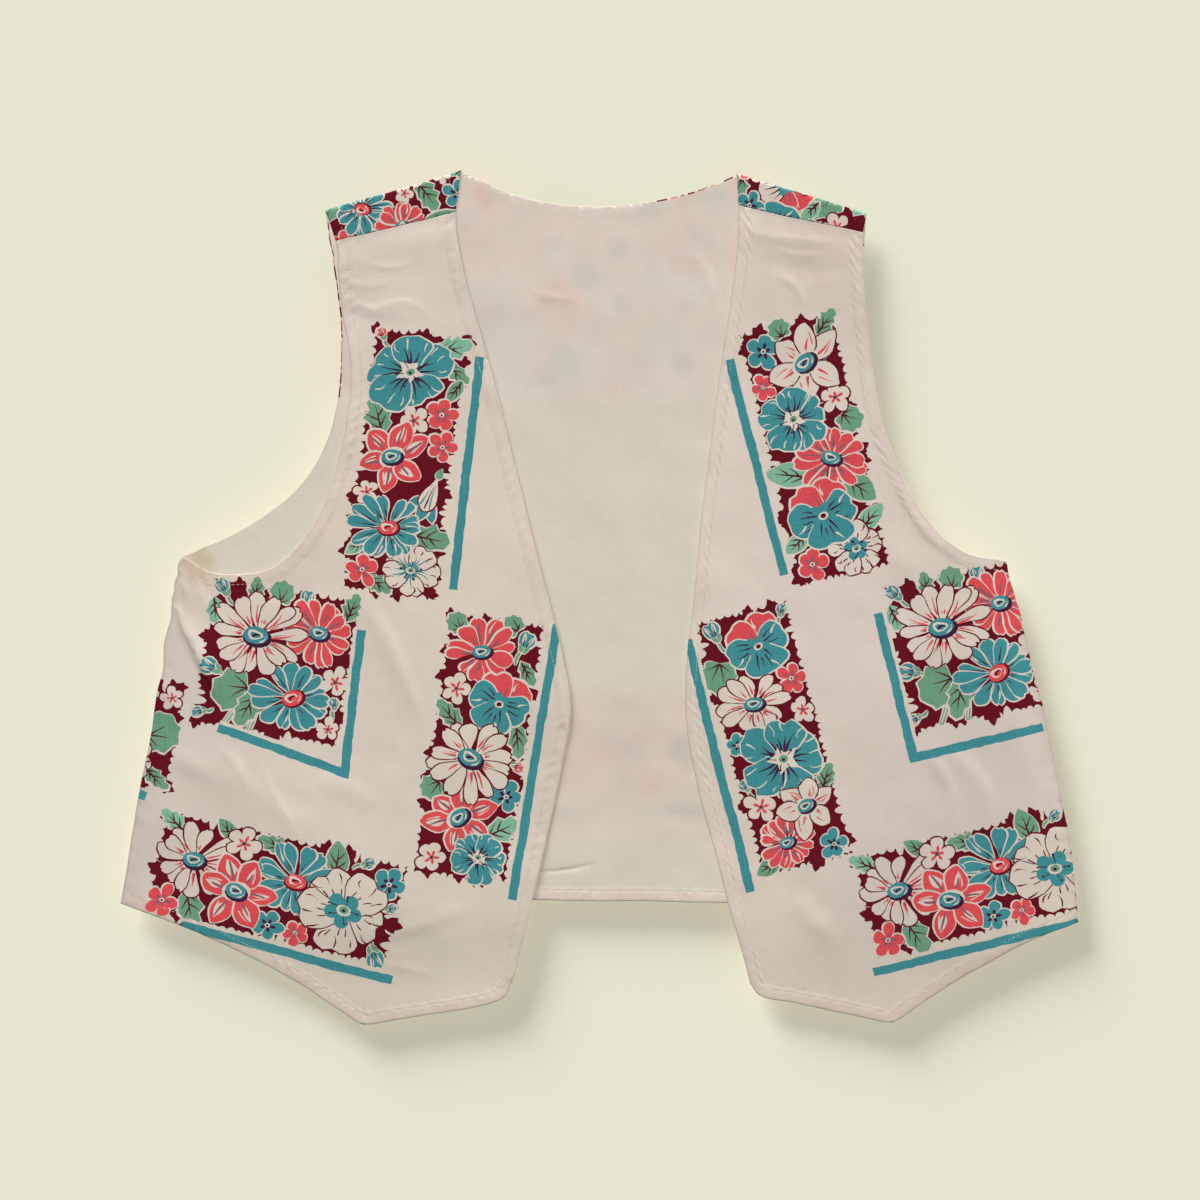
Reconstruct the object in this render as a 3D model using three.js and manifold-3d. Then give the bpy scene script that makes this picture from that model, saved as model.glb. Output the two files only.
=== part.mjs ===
// A cropped waistcoat of printed cotton, laid flat: one back and two fronts, open down
// the middle, with turned hems and no fastening, pocket or lining.
// Millimetres. +X is the wearer's left, +Y points to the neck, +Z is up. The back lies
// printed side down on z = 0, its shoulders come forward over the top, and the fronts
// lie on it. The origin is the middle of the whole outline, on the surface it lies on.
import Module from "manifold-3d";
import * as THREE from "three";
import { mergeVertices } from "three/addons/utils/BufferGeometryUtils.js";

const wasm = await Module();
wasm.setup();

const CLOTH = 1.2; // wall of one layer
const HEM_EXTRA = 0.6; // what the turned layer adds
const HEM_WIDTH = 7;
const SEAM_GAP = 0.3; // between pieces that are sewn together
const LAYER = CLOTH + SEAM_GAP; // underside of a front where it is sewn to the back
const CLEAR_LAYER = 2.6; // underside of a front where it lies over the back's hems
const SEAM_RUN = 20; // a front climbs from LAYER to CLEAR_LAYER over this
const DROP_START = 4; // a front starts down to the surface this far past the back's hem
const DROP_RUN = 14; // and is down on it after this
const EDGE_STEP = 9; // spacing of points along a curved edge
const GRID_STEP = 13.5; // facets of the soft surfaces
const DROP_STEP = 5; // rows where a front comes down
const TALL = 40; // reach of the prisms that cut outlines
const FOLD_SIDES = 8; // facets round a shoulder fold
const FOLD_REACH = 40; // length of a shoulder fold's profile before it is cut

// Corners where pieces meet, as they lie.
const RIGHT = {
  foldNeck: { x: -79, y: 247.5 },
  foldArm: { x: -159, y: 224 },
  seamNeck: { x: -83.5, y: 224 },
  seamArm: { x: -153, y: 207.5 },
  pit: { x: -240.5, y: 25 },
  hemCorner: { x: -277.5, y: -176 },
  backCorner: { x: -277.5, y: -176 },
  point: { x: -137.5, y: -247.5 },
  frontCorner: { x: -50, y: -222.5 },
};
const LEFT = {
  foldNeck: { x: 79, y: 245.5 },
  foldArm: { x: 154.5, y: 222 },
  seamNeck: { x: 80, y: 228 },
  seamArm: { x: 152.5, y: 212 },
  pit: { x: 236.5, y: 21.5 },
  hemCorner: { x: 277.5, y: -187 },
  backCorner: { x: 276.5, y: -180 },
  point: { x: 169.5, y: -247 },
  frontCorner: { x: 87, y: -222.5 },
};

// Curved edges: the points between two corners that give each its curve.
const SIDE_SEAMS = {
  right: [
    { x: -248, y: -3 },
    { x: -258, y: -64.5 },
    { x: -273, y: -150 },
  ],
  left: [
    { x: 240, y: 5 },
    { x: 256.5, y: -59 },
    { x: 273, y: -140.5 },
  ],
};
const NECK = [
  { x: -46, y: 233.5 },
  { x: 0, y: 227.5 },
  { x: 53, y: 235.5 },
];
const BACK_HEM = [
  { x: -150, y: -174 },
  { x: 14, y: -175 },
  { x: 200, y: -178.5 },
];
const BACK_ARMHOLES = {
  right: [
    { x: -149.5, y: 151 },
    { x: -156, y: 97.5 },
    { x: -174.5, y: 65 },
    { x: -204.5, y: 42 },
  ],
  left: [
    { x: 152, y: 164 },
    { x: 161.5, y: 102 },
    { x: 182, y: 53 },
    { x: 209, y: 27 },
  ],
};
const FRONT_ARMHOLES = {
  right: [
    { x: -149.5, y: 169.5 },
    { x: -144, y: 127 },
    { x: -161, y: 51 },
    { x: -186, y: 20 },
    { x: -207, y: 14.5 },
  ],
  left: [
    { x: 154.5, y: 164 },
    { x: 164, y: 102 },
    { x: 184.5, y: 53.5 },
    { x: 211, y: 28 },
  ],
};
const FRONT_HEMS = {
  right: [
    { x: -245.5, y: -188 },
    { x: -174.5, y: -222.5 },
  ],
  left: [
    { x: 245.5, y: -200 },
    { x: 194, y: -229.5 },
  ],
};
const LOWER_EDGES = {
  right: [
    { x: -69, y: -235.5 },
    { x: -56, y: -231 },
  ],
  left: [
    { x: 116.5, y: -234.5 },
    { x: 92, y: -229.5 },
  ],
};
const FRONT_EDGES = {
  right: [
    { x: -21, y: -94 },
    { x: -16.5, y: -66 },
    { x: -22, y: -33 },
    { x: -44, y: 57 },
    { x: -66, y: 143.5 },
    { x: -82, y: 205 },
  ],
  left: [
    { x: 54, y: -94 },
    { x: 50, y: -55 },
    { x: 55.5, y: 14.5 },
    { x: 71.5, y: 143 },
    { x: 79.5, y: 205 },
  ],
};

// The largest soft folds of each front: a ridge from one end to the other.
const FOLDS = {
  right: [
    { name: "chest", x0: -140, y0: 176, x1: -80, y1: 160, rise: 1.4, half: 16 },
    { name: "underarm", x0: -232, y0: 4, x1: -212, y1: -52, rise: 2.2, half: 14 },
    { name: "waist", x0: -122, y0: -5, x1: -96, y1: -84, rise: 2.4, half: 18 },
    { name: "hip", x0: -205, y0: -108, x1: -120, y1: -148, rise: 1.8, half: 24 },
  ],
  left: [
    { name: "shoulder", x0: 98, y0: 203, x1: 134, y1: 190, rise: 1.2, half: 14 },
    { name: "pit", x0: 214, y0: 4, x1: 178, y1: -44, rise: 2.0, half: 18 },
    { name: "side", x0: 196, y0: -84, x1: 232, y1: -150, rise: 2.4, half: 18 },
    { name: "waist", x0: 92, y0: -40, x1: 112, y1: -120, rise: 1.8, half: 20 },
  ],
};

/** Smooth 0 to 1 as t goes from 0 to 1. */
function smooth(t) {
  const s = Math.min(1, Math.max(0, t));
  return s * s * (3 - 2 * s);
}

/** Points along a smooth edge through its corners and the points between them. */
function edge(start, between, end) {
  const knots = [start, ...between, end].map((p) => new THREE.Vector3(p.x, p.y, 0));
  const curve = new THREE.CatmullRomCurve3(knots, false, "centripetal");
  const steps = Math.max(1, Math.round(curve.getLength() / EDGE_STEP));
  return curve.getSpacedPoints(steps).map((p) => new THREE.Vector2(p.x, p.y));
}

/** A closed outline from edges that follow each other. */
function outline(edges) {
  return edges.flatMap((points) => points.slice(0, -1));
}

/** Distance from (x, y) to a line of points. */
function distanceTo(line, x, y) {
  let nearest = Infinity;
  for (let i = 1; i < line.length; i++) {
    const a = line[i - 1];
    const b = line[i];
    const run = { x: b.x - a.x, y: b.y - a.y };
    const along = ((x - a.x) * run.x + (y - a.y) * run.y) / (run.x ** 2 + run.y ** 2);
    const t = Math.min(1, Math.max(0, along));
    nearest = Math.min(nearest, Math.hypot(x - a.x - t * run.x, y - a.y - t * run.y));
  }
  return nearest;
}

/** The y that a line of points, running in +x, has at x. */
function heightAt(line, x) {
  const found = line.findIndex((p) => p.x >= x);
  const after = Math.max(1, found < 0 ? line.length - 1 : found);
  const a = line[after - 1];
  const b = line[after];
  return a.y + ((x - a.x) / (b.x - a.x)) * (b.y - a.y);
}

/** A corner moved in y. */
function moved(corner, up) {
  return { x: corner.x, y: corner.y + up };
}

/** A three.js geometry as a solid that can be cut and joined. */
function solidOf(geometry) {
  const bare = geometry.clone();
  bare.deleteAttribute("normal");
  bare.deleteAttribute("uv");
  const merged = mergeVertices(bare.index ? bare.toNonIndexed() : bare);
  return new wasm.Manifold(
    new wasm.Mesh({
      numProp: 3,
      vertProperties: new Float32Array(merged.attributes.position.array),
      triVerts: new Uint32Array(merged.index.array),
    }),
  );
}

/** A solid back as a three.js geometry. */
function geometryOf(solid) {
  const mesh = solid.getMesh();
  const geometry = new THREE.BufferGeometry();
  geometry.setAttribute("position", new THREE.BufferAttribute(mesh.vertProperties, 3));
  geometry.setIndex(new THREE.BufferAttribute(mesh.triVerts, 1));
  const flat = geometry.toNonIndexed();
  flat.computeVertexNormals();
  return flat;
}

/** An outline as a prism from one height to another. */
function prism(points, bottom, top) {
  const shape = new THREE.Shape(points);
  const block = new THREE.ExtrudeGeometry(shape, { depth: top - bottom, bevelEnabled: false });
  return solidOf(block.translate(0, 0, bottom));
}

/** The strip inside an edge that its turned hem covers, for an anticlockwise outline. */
function hemStrip(points) {
  const inner = points.map((p, i) => {
    const before = points[Math.max(0, i - 1)];
    const after = points[Math.min(points.length - 1, i + 1)];
    const along = after.clone().sub(before).normalize();
    return new THREE.Vector2(p.x - along.y * HEM_WIDTH, p.y + along.x * HEM_WIDTH);
  });
  return [...points, ...inner.reverse()];
}

/** Evenly stepped numbers from low to high, both ends in. */
function stations(low, high, step) {
  const count = Math.ceil((high - low) / step);
  return Array.from({ length: count + 1 }, (_, i) => low + ((high - low) * i) / count);
}

/** A soft sheet over a grid: its underside is at under(x, y) + low, its top at + high. */
function sheet(columns, rows, under, low, high) {
  const positions = [];
  const index = [];
  const wide = columns.length;
  const layer = wide * rows.length;
  for (const level of [low, high]) {
    for (const y of rows) {
      for (const x of columns) {
        positions.push(x, y, under(x, y) + level);
      }
    }
  }
  for (let r = 0; r + 1 < rows.length; r++) {
    for (let c = 0; c + 1 < wide; c++) {
      const a = r * wide + c;
      const b = a + 1;
      const d = a + wide;
      const e = d + 1;
      index.push(a, d, b, b, d, e);
      index.push(a + layer, b + layer, d + layer, b + layer, e + layer, d + layer);
    }
  }
  const last = (rows.length - 1) * wide;
  const bottomEdge = columns.map((_, c) => c);
  const rightEdge = rows.map((_, r) => r * wide + wide - 1);
  const topEdge = columns.map((_, c) => last + wide - 1 - c);
  const leftEdge = rows.map((_, r) => last - r * wide);
  for (const side of [bottomEdge, rightEdge, topEdge, leftEdge]) {
    for (let i = 0; i + 1 < side.length; i++) {
      const a = side[i];
      const b = side[i + 1];
      index.push(a, b, b + layer, a, b + layer, a + layer);
    }
  }
  const geometry = new THREE.BufferGeometry();
  geometry.setAttribute("position", new THREE.Float32BufferAttribute(positions, 3));
  geometry.setIndex(index);
  return solidOf(geometry);
}

/** How far a front's underside is lifted by one soft fold. */
function foldRise(fold, x, y) {
  const ridge = [
    { x: fold.x0, y: fold.y0 },
    { x: fold.x1, y: fold.y1 },
  ];
  return fold.rise * (1 - smooth(distanceTo(ridge, x, y) / fold.half));
}

/** The height of a front's underside: sewn down at its seams, clear of the hems below. */
function undersideOf(edges, folds, backHem) {
  return (x, y) => {
    const seam = Math.min(distanceTo(edges.side, x, y), distanceTo(edges.shoulder, x, y));
    const lift = folds.reduce((sum, fold) => sum + foldRise(fold, x, y), 0);
    const laid = LAYER + smooth(seam / SEAM_RUN) * (CLEAR_LAYER - LAYER + lift);
    const past = heightAt(backHem, x) - DROP_START - y;
    return laid * (1 - smooth(past / DROP_RUN));
  };
}

/** A front: soft cloth over the back, with turned hems on every edge that has no seam. */
function front(edges, folds, backHem) {
  const { shoulder, armhole, side, hem, lower, open } = edges;
  const points = outline([shoulder, armhole, side, hem, lower, open]);
  const cut = prism(points, -TALL, TALL);
  const under = undersideOf(edges, folds, backHem);
  const low = new THREE.Vector2(Infinity, Infinity);
  const high = new THREE.Vector2(-Infinity, -Infinity);
  for (const p of points) {
    low.min(p);
    high.max(p);
  }
  const dropTop = Math.max(...backHem.map((p) => p.y));
  const dropEnd = Math.min(...backHem.map((p) => p.y)) - DROP_START - DROP_RUN;
  const columns = stations(low.x - 1, high.x + 1, GRID_STEP);
  const rows = [
    ...stations(low.y - 1, dropEnd, GRID_STEP),
    ...stations(dropEnd, dropTop, DROP_STEP).slice(1),
    ...stations(dropTop, high.y + 1, GRID_STEP).slice(1),
  ];
  let wall = sheet(columns, rows, under, 0, CLOTH).intersect(cut);
  const doubled = sheet(columns, rows, under, CLOTH / 2, CLOTH + HEM_EXTRA).intersect(cut);
  for (const turned of [armhole, hem, lower, open]) {
    const strip = hemStrip(THREE.ShapeUtils.isClockWise(points) ? turned.toReversed() : turned);
    wall = wall.add(doubled.intersect(prism(strip, -TALL, TALL)));
  }
  return wall;
}

/** A shoulder of the back: cloth that folds over and comes forward to its seam. */
function shoulderFold(corners) {
  const { foldNeck, foldArm, seamNeck, seamArm } = corners;
  const run = new THREE.Vector2(foldArm.x - foldNeck.x, foldArm.y - foldNeck.y);
  const toLeft = Math.sign(run.x);
  const inward = new THREE.Vector2(run.y, -run.x).multiplyScalar(toLeft).normalize();
  const outer = (LAYER + CLOTH) / 2;
  const inner = SEAM_GAP / 2;
  const profile = new THREE.Shape();
  profile.moveTo(FOLD_REACH, 0);
  profile.lineTo(FOLD_REACH, CLOTH);
  profile.lineTo(outer, CLOTH);
  profile.absarc(outer, outer, inner, -Math.PI / 2, Math.PI / 2, true);
  profile.lineTo(FOLD_REACH, LAYER);
  profile.lineTo(FOLD_REACH, LAYER + CLOTH);
  profile.lineTo(outer, LAYER + CLOTH);
  profile.absarc(outer, outer, outer, Math.PI / 2, -Math.PI / 2, false);
  const bar = new THREE.ExtrudeGeometry(profile, {
    depth: run.length() + 2 * TALL,
    bevelEnabled: false,
    curveSegments: FOLD_SIDES,
  });
  bar.translate(0, 0, -TALL);
  const start = toLeft > 0 ? foldArm : foldNeck;
  const place = new THREE.Matrix4().makeBasis(
    new THREE.Vector3(inward.x, inward.y, 0),
    new THREE.Vector3(0, 0, 1),
    new THREE.Vector3(inward.y, -inward.x, 0),
  );
  place.setPosition(start.x, start.y, 0);
  bar.applyMatrix4(place);
  const beyond = [foldNeck, foldArm].map((corner) =>
    new THREE.Vector2(corner.x, corner.y).addScaledVector(inward, -2 * outer),
  );
  const kept = [foldArm, seamArm, seamNeck, foldNeck].map((p) => new THREE.Vector2(p.x, p.y));
  return solidOf(bar).intersect(prism([...beyond, ...kept], -TALL, TALL));
}

/** The back: one flat layer with its hems, and its shoulders folded over the top. */
function back(edges, shoulders) {
  const { neck, leftArmhole, leftSide, hem, rightSide, rightArmhole } = edges;
  const points = outline([neck, leftArmhole, leftSide, hem, rightSide, rightArmhole]);
  const cut = prism(points, -TALL, TALL);
  const nearSeam = Math.ceil(SEAM_RUN / EDGE_STEP) + 1;
  let wall = prism(points, 0, CLOTH);
  for (const turned of [
    neck.slice(1, -2),
    leftArmhole.slice(nearSeam, -nearSeam),
    hem.slice(nearSeam, -nearSeam),
    rightArmhole.slice(nearSeam, -nearSeam),
  ]) {
    const strip = hemStrip(turned.toReversed());
    wall = wall.add(prism(strip, CLOTH / 2, CLOTH + HEM_EXTRA).intersect(cut));
  }
  return shoulders.reduce((sum, corners) => sum.add(shoulderFold(corners)), wall);
}

/** One named piece of cloth. */
function piece(name, solid, colour) {
  const cloth = new THREE.MeshStandardMaterial({ color: colour, roughness: 0.9, metalness: 0 });
  const mesh = new THREE.Mesh(geometryOf(solid), cloth);
  mesh.name = name;
  return mesh;
}

/** The edges of one front, in order round it. */
function frontEdges(corners, side) {
  const seamNeck = moved(corners.seamNeck, -SEAM_GAP / 2);
  const seamArm = moved(corners.seamArm, -SEAM_GAP / 2);
  return {
    shoulder: edge(seamNeck, [], seamArm),
    armhole: edge(seamArm, FRONT_ARMHOLES[side], corners.pit),
    side: edge(corners.pit, SIDE_SEAMS[side], corners.hemCorner),
    hem: edge(corners.hemCorner, FRONT_HEMS[side], corners.point),
    lower: edge(corners.point, LOWER_EDGES[side], corners.frontCorner),
    open: edge(corners.frontCorner, FRONT_EDGES[side], seamNeck),
  };
}

/** The edges of the back's flat layer, in order round it, up to where its folds start. */
function backEdges() {
  const foldDepth = (LAYER + CLOTH) / 2;
  const [rightNeck, rightArm] = [RIGHT.foldNeck, RIGHT.foldArm].map((p) => moved(p, -foldDepth));
  const [leftNeck, leftArm] = [LEFT.foldNeck, LEFT.foldArm].map((p) => moved(p, -foldDepth));
  return {
    neck: [...edge(rightNeck, NECK, leftNeck), new THREE.Vector2(leftArm.x, leftArm.y)],
    leftArmhole: edge(leftArm, BACK_ARMHOLES.left, LEFT.pit),
    leftSide: edge(LEFT.pit, SIDE_SEAMS.left, LEFT.backCorner),
    hem: edge(LEFT.backCorner, BACK_HEM.toReversed(), RIGHT.backCorner),
    rightSide: edge(RIGHT.backCorner, SIDE_SEAMS.right.toReversed(), RIGHT.pit),
    rightArmhole: [
      ...edge(RIGHT.pit, BACK_ARMHOLES.right.toReversed(), rightArm),
      new THREE.Vector2(rightNeck.x, rightNeck.y),
    ],
  };
}

const shoulders = [RIGHT, LEFT].map((corners) => ({
  ...corners,
  seamNeck: moved(corners.seamNeck, SEAM_GAP / 2),
  seamArm: moved(corners.seamArm, SEAM_GAP / 2),
}));
const backLayer = backEdges();
const backHem = backLayer.hem.toReversed();
const CREAM = 0xd8cdbd;

const group = new THREE.Group();
group.add(piece("back", back(backLayer, shoulders), CREAM));
group.add(piece("right_front", front(frontEdges(RIGHT, "right"), FOLDS.right, backHem), CREAM));
group.add(piece("left_front", front(frontEdges(LEFT, "left"), FOLDS.left, backHem), CREAM));

export default group;
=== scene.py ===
"""A cropped waistcoat of printed table cotton, laid flat with its fronts uppermost.

Every panel is a thin shell of cloth on the form of its solid. Its printed face is cut
up along the outlines of the print, so each colour is a stretch of cloth of its own.
Shapes are worked out in millimetres on the flat cut, and written to meshes in metres.
"""

import logging
import math
from collections.abc import Callable, Sequence
from dataclasses import dataclass, field
from enum import Enum
from functools import partial

import bpy
import numpy as np
from bpy.types import Material, Node, NodeSocket, NodeTree, Object
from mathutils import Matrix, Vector
from mathutils.geometry import delaunay_2d_cdt


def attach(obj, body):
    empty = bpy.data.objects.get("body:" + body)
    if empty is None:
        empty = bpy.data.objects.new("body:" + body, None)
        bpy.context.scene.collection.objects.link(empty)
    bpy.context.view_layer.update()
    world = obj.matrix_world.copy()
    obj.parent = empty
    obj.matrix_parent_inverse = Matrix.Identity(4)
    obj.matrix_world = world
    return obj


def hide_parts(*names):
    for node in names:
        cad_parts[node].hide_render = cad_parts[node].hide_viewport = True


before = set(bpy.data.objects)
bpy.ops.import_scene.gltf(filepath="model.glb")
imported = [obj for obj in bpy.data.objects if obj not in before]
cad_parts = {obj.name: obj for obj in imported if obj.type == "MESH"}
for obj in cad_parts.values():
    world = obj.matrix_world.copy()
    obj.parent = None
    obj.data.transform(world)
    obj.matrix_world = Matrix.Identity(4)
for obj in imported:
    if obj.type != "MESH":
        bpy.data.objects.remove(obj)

LOG = logging.getLogger("waistcoat")

MM = 0.001
BODY = "root"
MAP_NAME = "OFBake"

CLOTH = 0.72  # thickness of one layer as it lies, soft
HEM_WIDTH = 7.0
HEM_EXTRA = 0.32  # what the turned layers add
STITCH_INSET = 5.9  # from a hemmed edge to its row of stitches
STITCH_STEP = 1.35  # points along that row
EDGE_STEP = 2.0  # points along an edge
EDGE_ROUND = 0.45  # how far in from an edge the cloth rounds over
HEM_ROWS = (0.07, 0.2, 0.45, 1.8, 3.6, 5.0, 5.55, 5.9, 6.25, 6.8, 7.6, 9.0)
SEAM_FADE = 26.0  # a hem gets thinner over this towards a seam
BAR_WIDTH = 5.1  # of a printed bar
BAR_HALO = 4.2  # bare cloth beside it, both sides together

SIDE_SEAT = 1.15  # middle of a front's cloth where it is sewn to the back's side
SHOULDER_SEAT = 1.95  # and where it is sewn to the back's shoulder
OPEN_SEAT = 2.6  # and elsewhere over the back
POINT_SEAT = 0.75  # and where it lies on the surface
SEAM_RUN = 20.0
SHOULDER_RUN = 14.0
DROP_START = 4.0
DROP_RUN = 50.0
FOLD_RADIUS = 0.78  # middle of the cloth round a shoulder fold

Points = np.ndarray
Pair = tuple[float, float]
Triple = tuple[float, float, float]
Inputs = dict[str | int, object]


def each(kind: type, *rows: tuple) -> tuple:
    """The rows of a table, each made into one of a kind."""
    return tuple(kind(*row) for row in rows)


# ---- plane geometry


def smooth(t: np.ndarray | float) -> np.ndarray:
    """Rise softly from 0 to 1 as t goes from 0 to 1."""
    s = np.clip(t, 0.0, 1.0)
    return s * s * (3.0 - 2.0 * s)


def curve_through(knots: Sequence[Pair], step: float) -> Points:
    """Points at even steps along a centripetal Catmull-Rom curve.

    Args:
        knots: The points that the curve passes through.
        step: The wanted distance between points.

    Returns:
        The points, both ends in.
    """
    given = np.array(knots, float)
    line = np.vstack((2 * given[0] - given[1], given, 2 * given[-1] - given[-2]))
    part = np.linspace(0.0, 1.0, 25)[:, None]
    dense = [given[:1]]
    for a, b, c, d in zip(line, line[1:], line[2:], line[3:]):
        tb, tc, td = np.cumsum([math.sqrt(max(1e-9, math.dist(*ends)))
                                for ends in ((a, b), (b, c), (c, d))])
        t = tb + (tc - tb) * part
        ab = a + (b - a) * t / tb
        bc = b + (c - b) * (t - tb) / (tc - tb)
        cd = c + (d - c) * (t - tc) / (td - tc)
        abc = ab + (bc - ab) * t / tc
        bcd = bc + (cd - bc) * (t - tb) / (td - tb)
        dense.append((abc + (bcd - abc) * (t - tb) / (tc - tb))[1:])
    return even(np.vstack(dense), step)


def even(line: Points, step: float) -> Points:
    """The same line with its points at even steps."""
    run = np.concatenate(([0.0], np.cumsum(np.hypot(*np.diff(line, axis=0).T))))
    at = np.linspace(0.0, run[-1], max(1, round(run[-1] / step)) + 1)
    return np.column_stack((np.interp(at, run, line[:, 0]), np.interp(at, run, line[:, 1])))


def nearest(line: Points, xy: Points) -> tuple[np.ndarray, np.ndarray, np.ndarray]:
    """How each point lies to a line.

    Args:
        line: The points of the line.
        xy: The points to measure.

    Returns:
        For each point, its distance, how far along the line it is, and 1 where it is
        on the line's left or -1 where it is on its right.
    """
    start, run = line[:-1], np.diff(line, axis=0)
    square = np.maximum((run**2).sum(axis=1), 1e-12)
    before = np.concatenate(([0.0], np.cumsum(np.sqrt(square))[:-1]))
    distance, along, side = (np.empty(len(xy)) for _ in range(3))
    for first in range(0, len(xy), 4096):
        chunk = slice(first, first + 4096)
        off = xy[chunk, None, :] - start
        t = np.clip((off * run).sum(axis=2) / square, 0.0, 1.0)
        gap = np.hypot(off[..., 0] - t * run[:, 0], off[..., 1] - t * run[:, 1])
        best = gap.argmin(axis=1)
        row = np.arange(len(best))
        distance[chunk] = gap[row, best]
        along[chunk] = before[best] + t[row, best] * np.sqrt(square[best])
        cross = run[best, 0] * off[row, best, 1] - run[best, 1] * off[row, best, 0]
        side[chunk] = np.where(cross >= 0.0, 1.0, -1.0)
    return distance, along, side


def area_of(loop: Points) -> float:
    """The area inside a closed loop, positive where it runs anticlockwise."""
    x, y = loop.T
    return 0.5 * float((x * np.roll(y, -1) - np.roll(x, -1) * y).sum())


def inside(loop: Points, xy: Points) -> np.ndarray:
    """Which points are inside a closed loop."""
    found = np.zeros(len(xy), bool)
    for a, b in zip(loop, np.roll(loop, -1, axis=0)):
        if a[1] == b[1]:
            continue
        crossed = (a[1] > xy[:, 1]) != (b[1] > xy[:, 1])
        at = a[0] + (xy[:, 1] - a[1]) * (b[0] - a[0]) / (b[1] - a[1])
        found ^= crossed & (xy[:, 0] < at)
    return found


def left_of(run: Points) -> Points:
    """The unit direction to the left of each step of a line."""
    return np.column_stack((-run[:, 1], run[:, 0])) / np.maximum(np.hypot(*run.T), 1e-9)[:, None]


def inset(loop: Points, by: float) -> Points:
    """A closed anticlockwise loop moved inwards along its points' normals."""
    return loop + by * left_of(np.roll(loop, -1, axis=0) - np.roll(loop, 1, axis=0))


def polar(radius: float, degrees: float) -> Pair:
    """The point at a radius and an angle."""
    return radius * math.cos(math.radians(degrees)), radius * math.sin(math.radians(degrees))


@dataclass(frozen=True)
class Swell:
    """Seeded soft unevenness over the cloth.

    size is the distance between swells and rise their height, in millimetres.
    """

    size: float
    rise: float
    seed: int
    count: int = 160

    def at(self, xy: Points) -> np.ndarray:
        """The swell at each point, from -rise to rise."""
        lattice = np.random.default_rng(self.seed).uniform(-1.0, 1.0, (self.count, self.count))
        place = xy @ np.array(((0.82, 0.57), (-0.57, 0.82))) / self.size + self.count / 2
        low = np.floor(place).astype(int)
        i, j = low.T % self.count
        i1, j1 = (i + 1) % self.count, (j + 1) % self.count
        u, v = smooth(place - low).T
        bottom = lattice[i, j] * (1 - u) + lattice[i1, j] * u
        top = lattice[i, j1] * (1 - u) + lattice[i1, j1] * u
        return self.rise * (bottom * (1 - v) + top * v)


def rumple(xy: Points, rise: float, seed: int) -> np.ndarray:
    """Faint creases that run into each other, more in some places than in others."""
    folds = 0.5 - abs(Swell(25.0, 1.0, seed).at(xy)) + 0.4 * (
        0.5 - abs(Swell(11.0, 1.0, seed + 1).at(xy)))
    return rise * folds * np.clip(Swell(60.0, 1.1, seed + 2).at(xy) + 0.45, 0.0, 1.0)


@dataclass(frozen=True)
class Crease:
    """A soft ridge along a route, or a trough where rise is negative.

    half is its reach to each side. lean, from -1 to 1, makes its left side shorter and
    its right side longer, or the other way about.
    """

    route: tuple[Pair, ...]
    rise: float
    half: float
    lean: float = 0.0

    def at(self, xy: Points) -> np.ndarray:
        """What the crease adds to the cloth's height at each point."""
        line = curve_through(self.route, 6.0)
        gap, along, side = nearest(line, xy)
        length = float(np.hypot(*np.diff(line, axis=0).T).sum())
        ends = smooth(3.0 * along / length) * smooth(3.0 * (1.0 - along / length))
        reach = self.half * (1.0 - self.lean * side)
        return self.rise * (0.25 + 0.75 * ends) * np.exp(-((gap / reach) ** 2) * 2.2)

    def samples(self) -> list[Points]:
        """Rows of points along a narrow crease, so that it comes out crisp."""
        if self.half > 6.5:
            return []
        line = curve_through(self.route, 2.2)
        left = left_of(np.gradient(line, axis=0))
        near = self.half * (1.0 - self.lean)
        far = self.half * (1.0 + self.lean)
        return [line + left * by for by in (-far, -0.5 * far, 0.0, 0.33 * near, 0.66 * near, near)]


@dataclass(frozen=True)
class Tug:
    """A place where the sewn cloth is drawn aside, fading out over a reach."""

    x: float
    y: float
    reach: float
    aside: Pair


TUGS = each(
    Tug,
    (-242, 20, 5, (-2.6, -0.3)), (-245, 10, 4, (-1.5, 0.0)), (-247, 1, 3.5, (-0.6, 0.0)),
    (-249, -11, 5, (1.1, 0.0)), (-253, -24, 5, (-0.5, 0.0)), (-254, -41, 8, (1.3, 0.0)),
    (-262, -84, 12, (0.6, 0.0)),
    (236, 12, 6, (-0.8, 0.0)), (243, -8, 5, (0.7, 0.0)), (252, -44, 12, (-0.6, 0.0)),
    (268, -122, 12, (-0.9, 0.0)), (169.5, -248, 4, (-0.2, 1.1)),
    (-137.5, -248, 3.5, (0.2, 0.9)), (-50, -223, 4, (-0.8, 0.9)),
    (-153, 200, 6, (0.7, 0.0)), (156, 196, 7, (-0.7, 0.0)),
)


def settle(xy: Points) -> Points:
    """Where laid cloth comes to lie, a little out of true.

    It is the same for every panel, so sewn edges stay together.
    """
    sway = [Swell(38.0, 0.55, seed).at(xy) + Swell(8.0, 0.2, seed + 1).at(xy)
            for seed in (301, 311)]
    moved = xy + np.column_stack(sway)
    for tug in TUGS:
        share = np.exp(-((xy - (tug.x, tug.y)) ** 2).sum(axis=1) / tug.reach**2)
        moved += share[:, None] * tug.aside
    return moved


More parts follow.
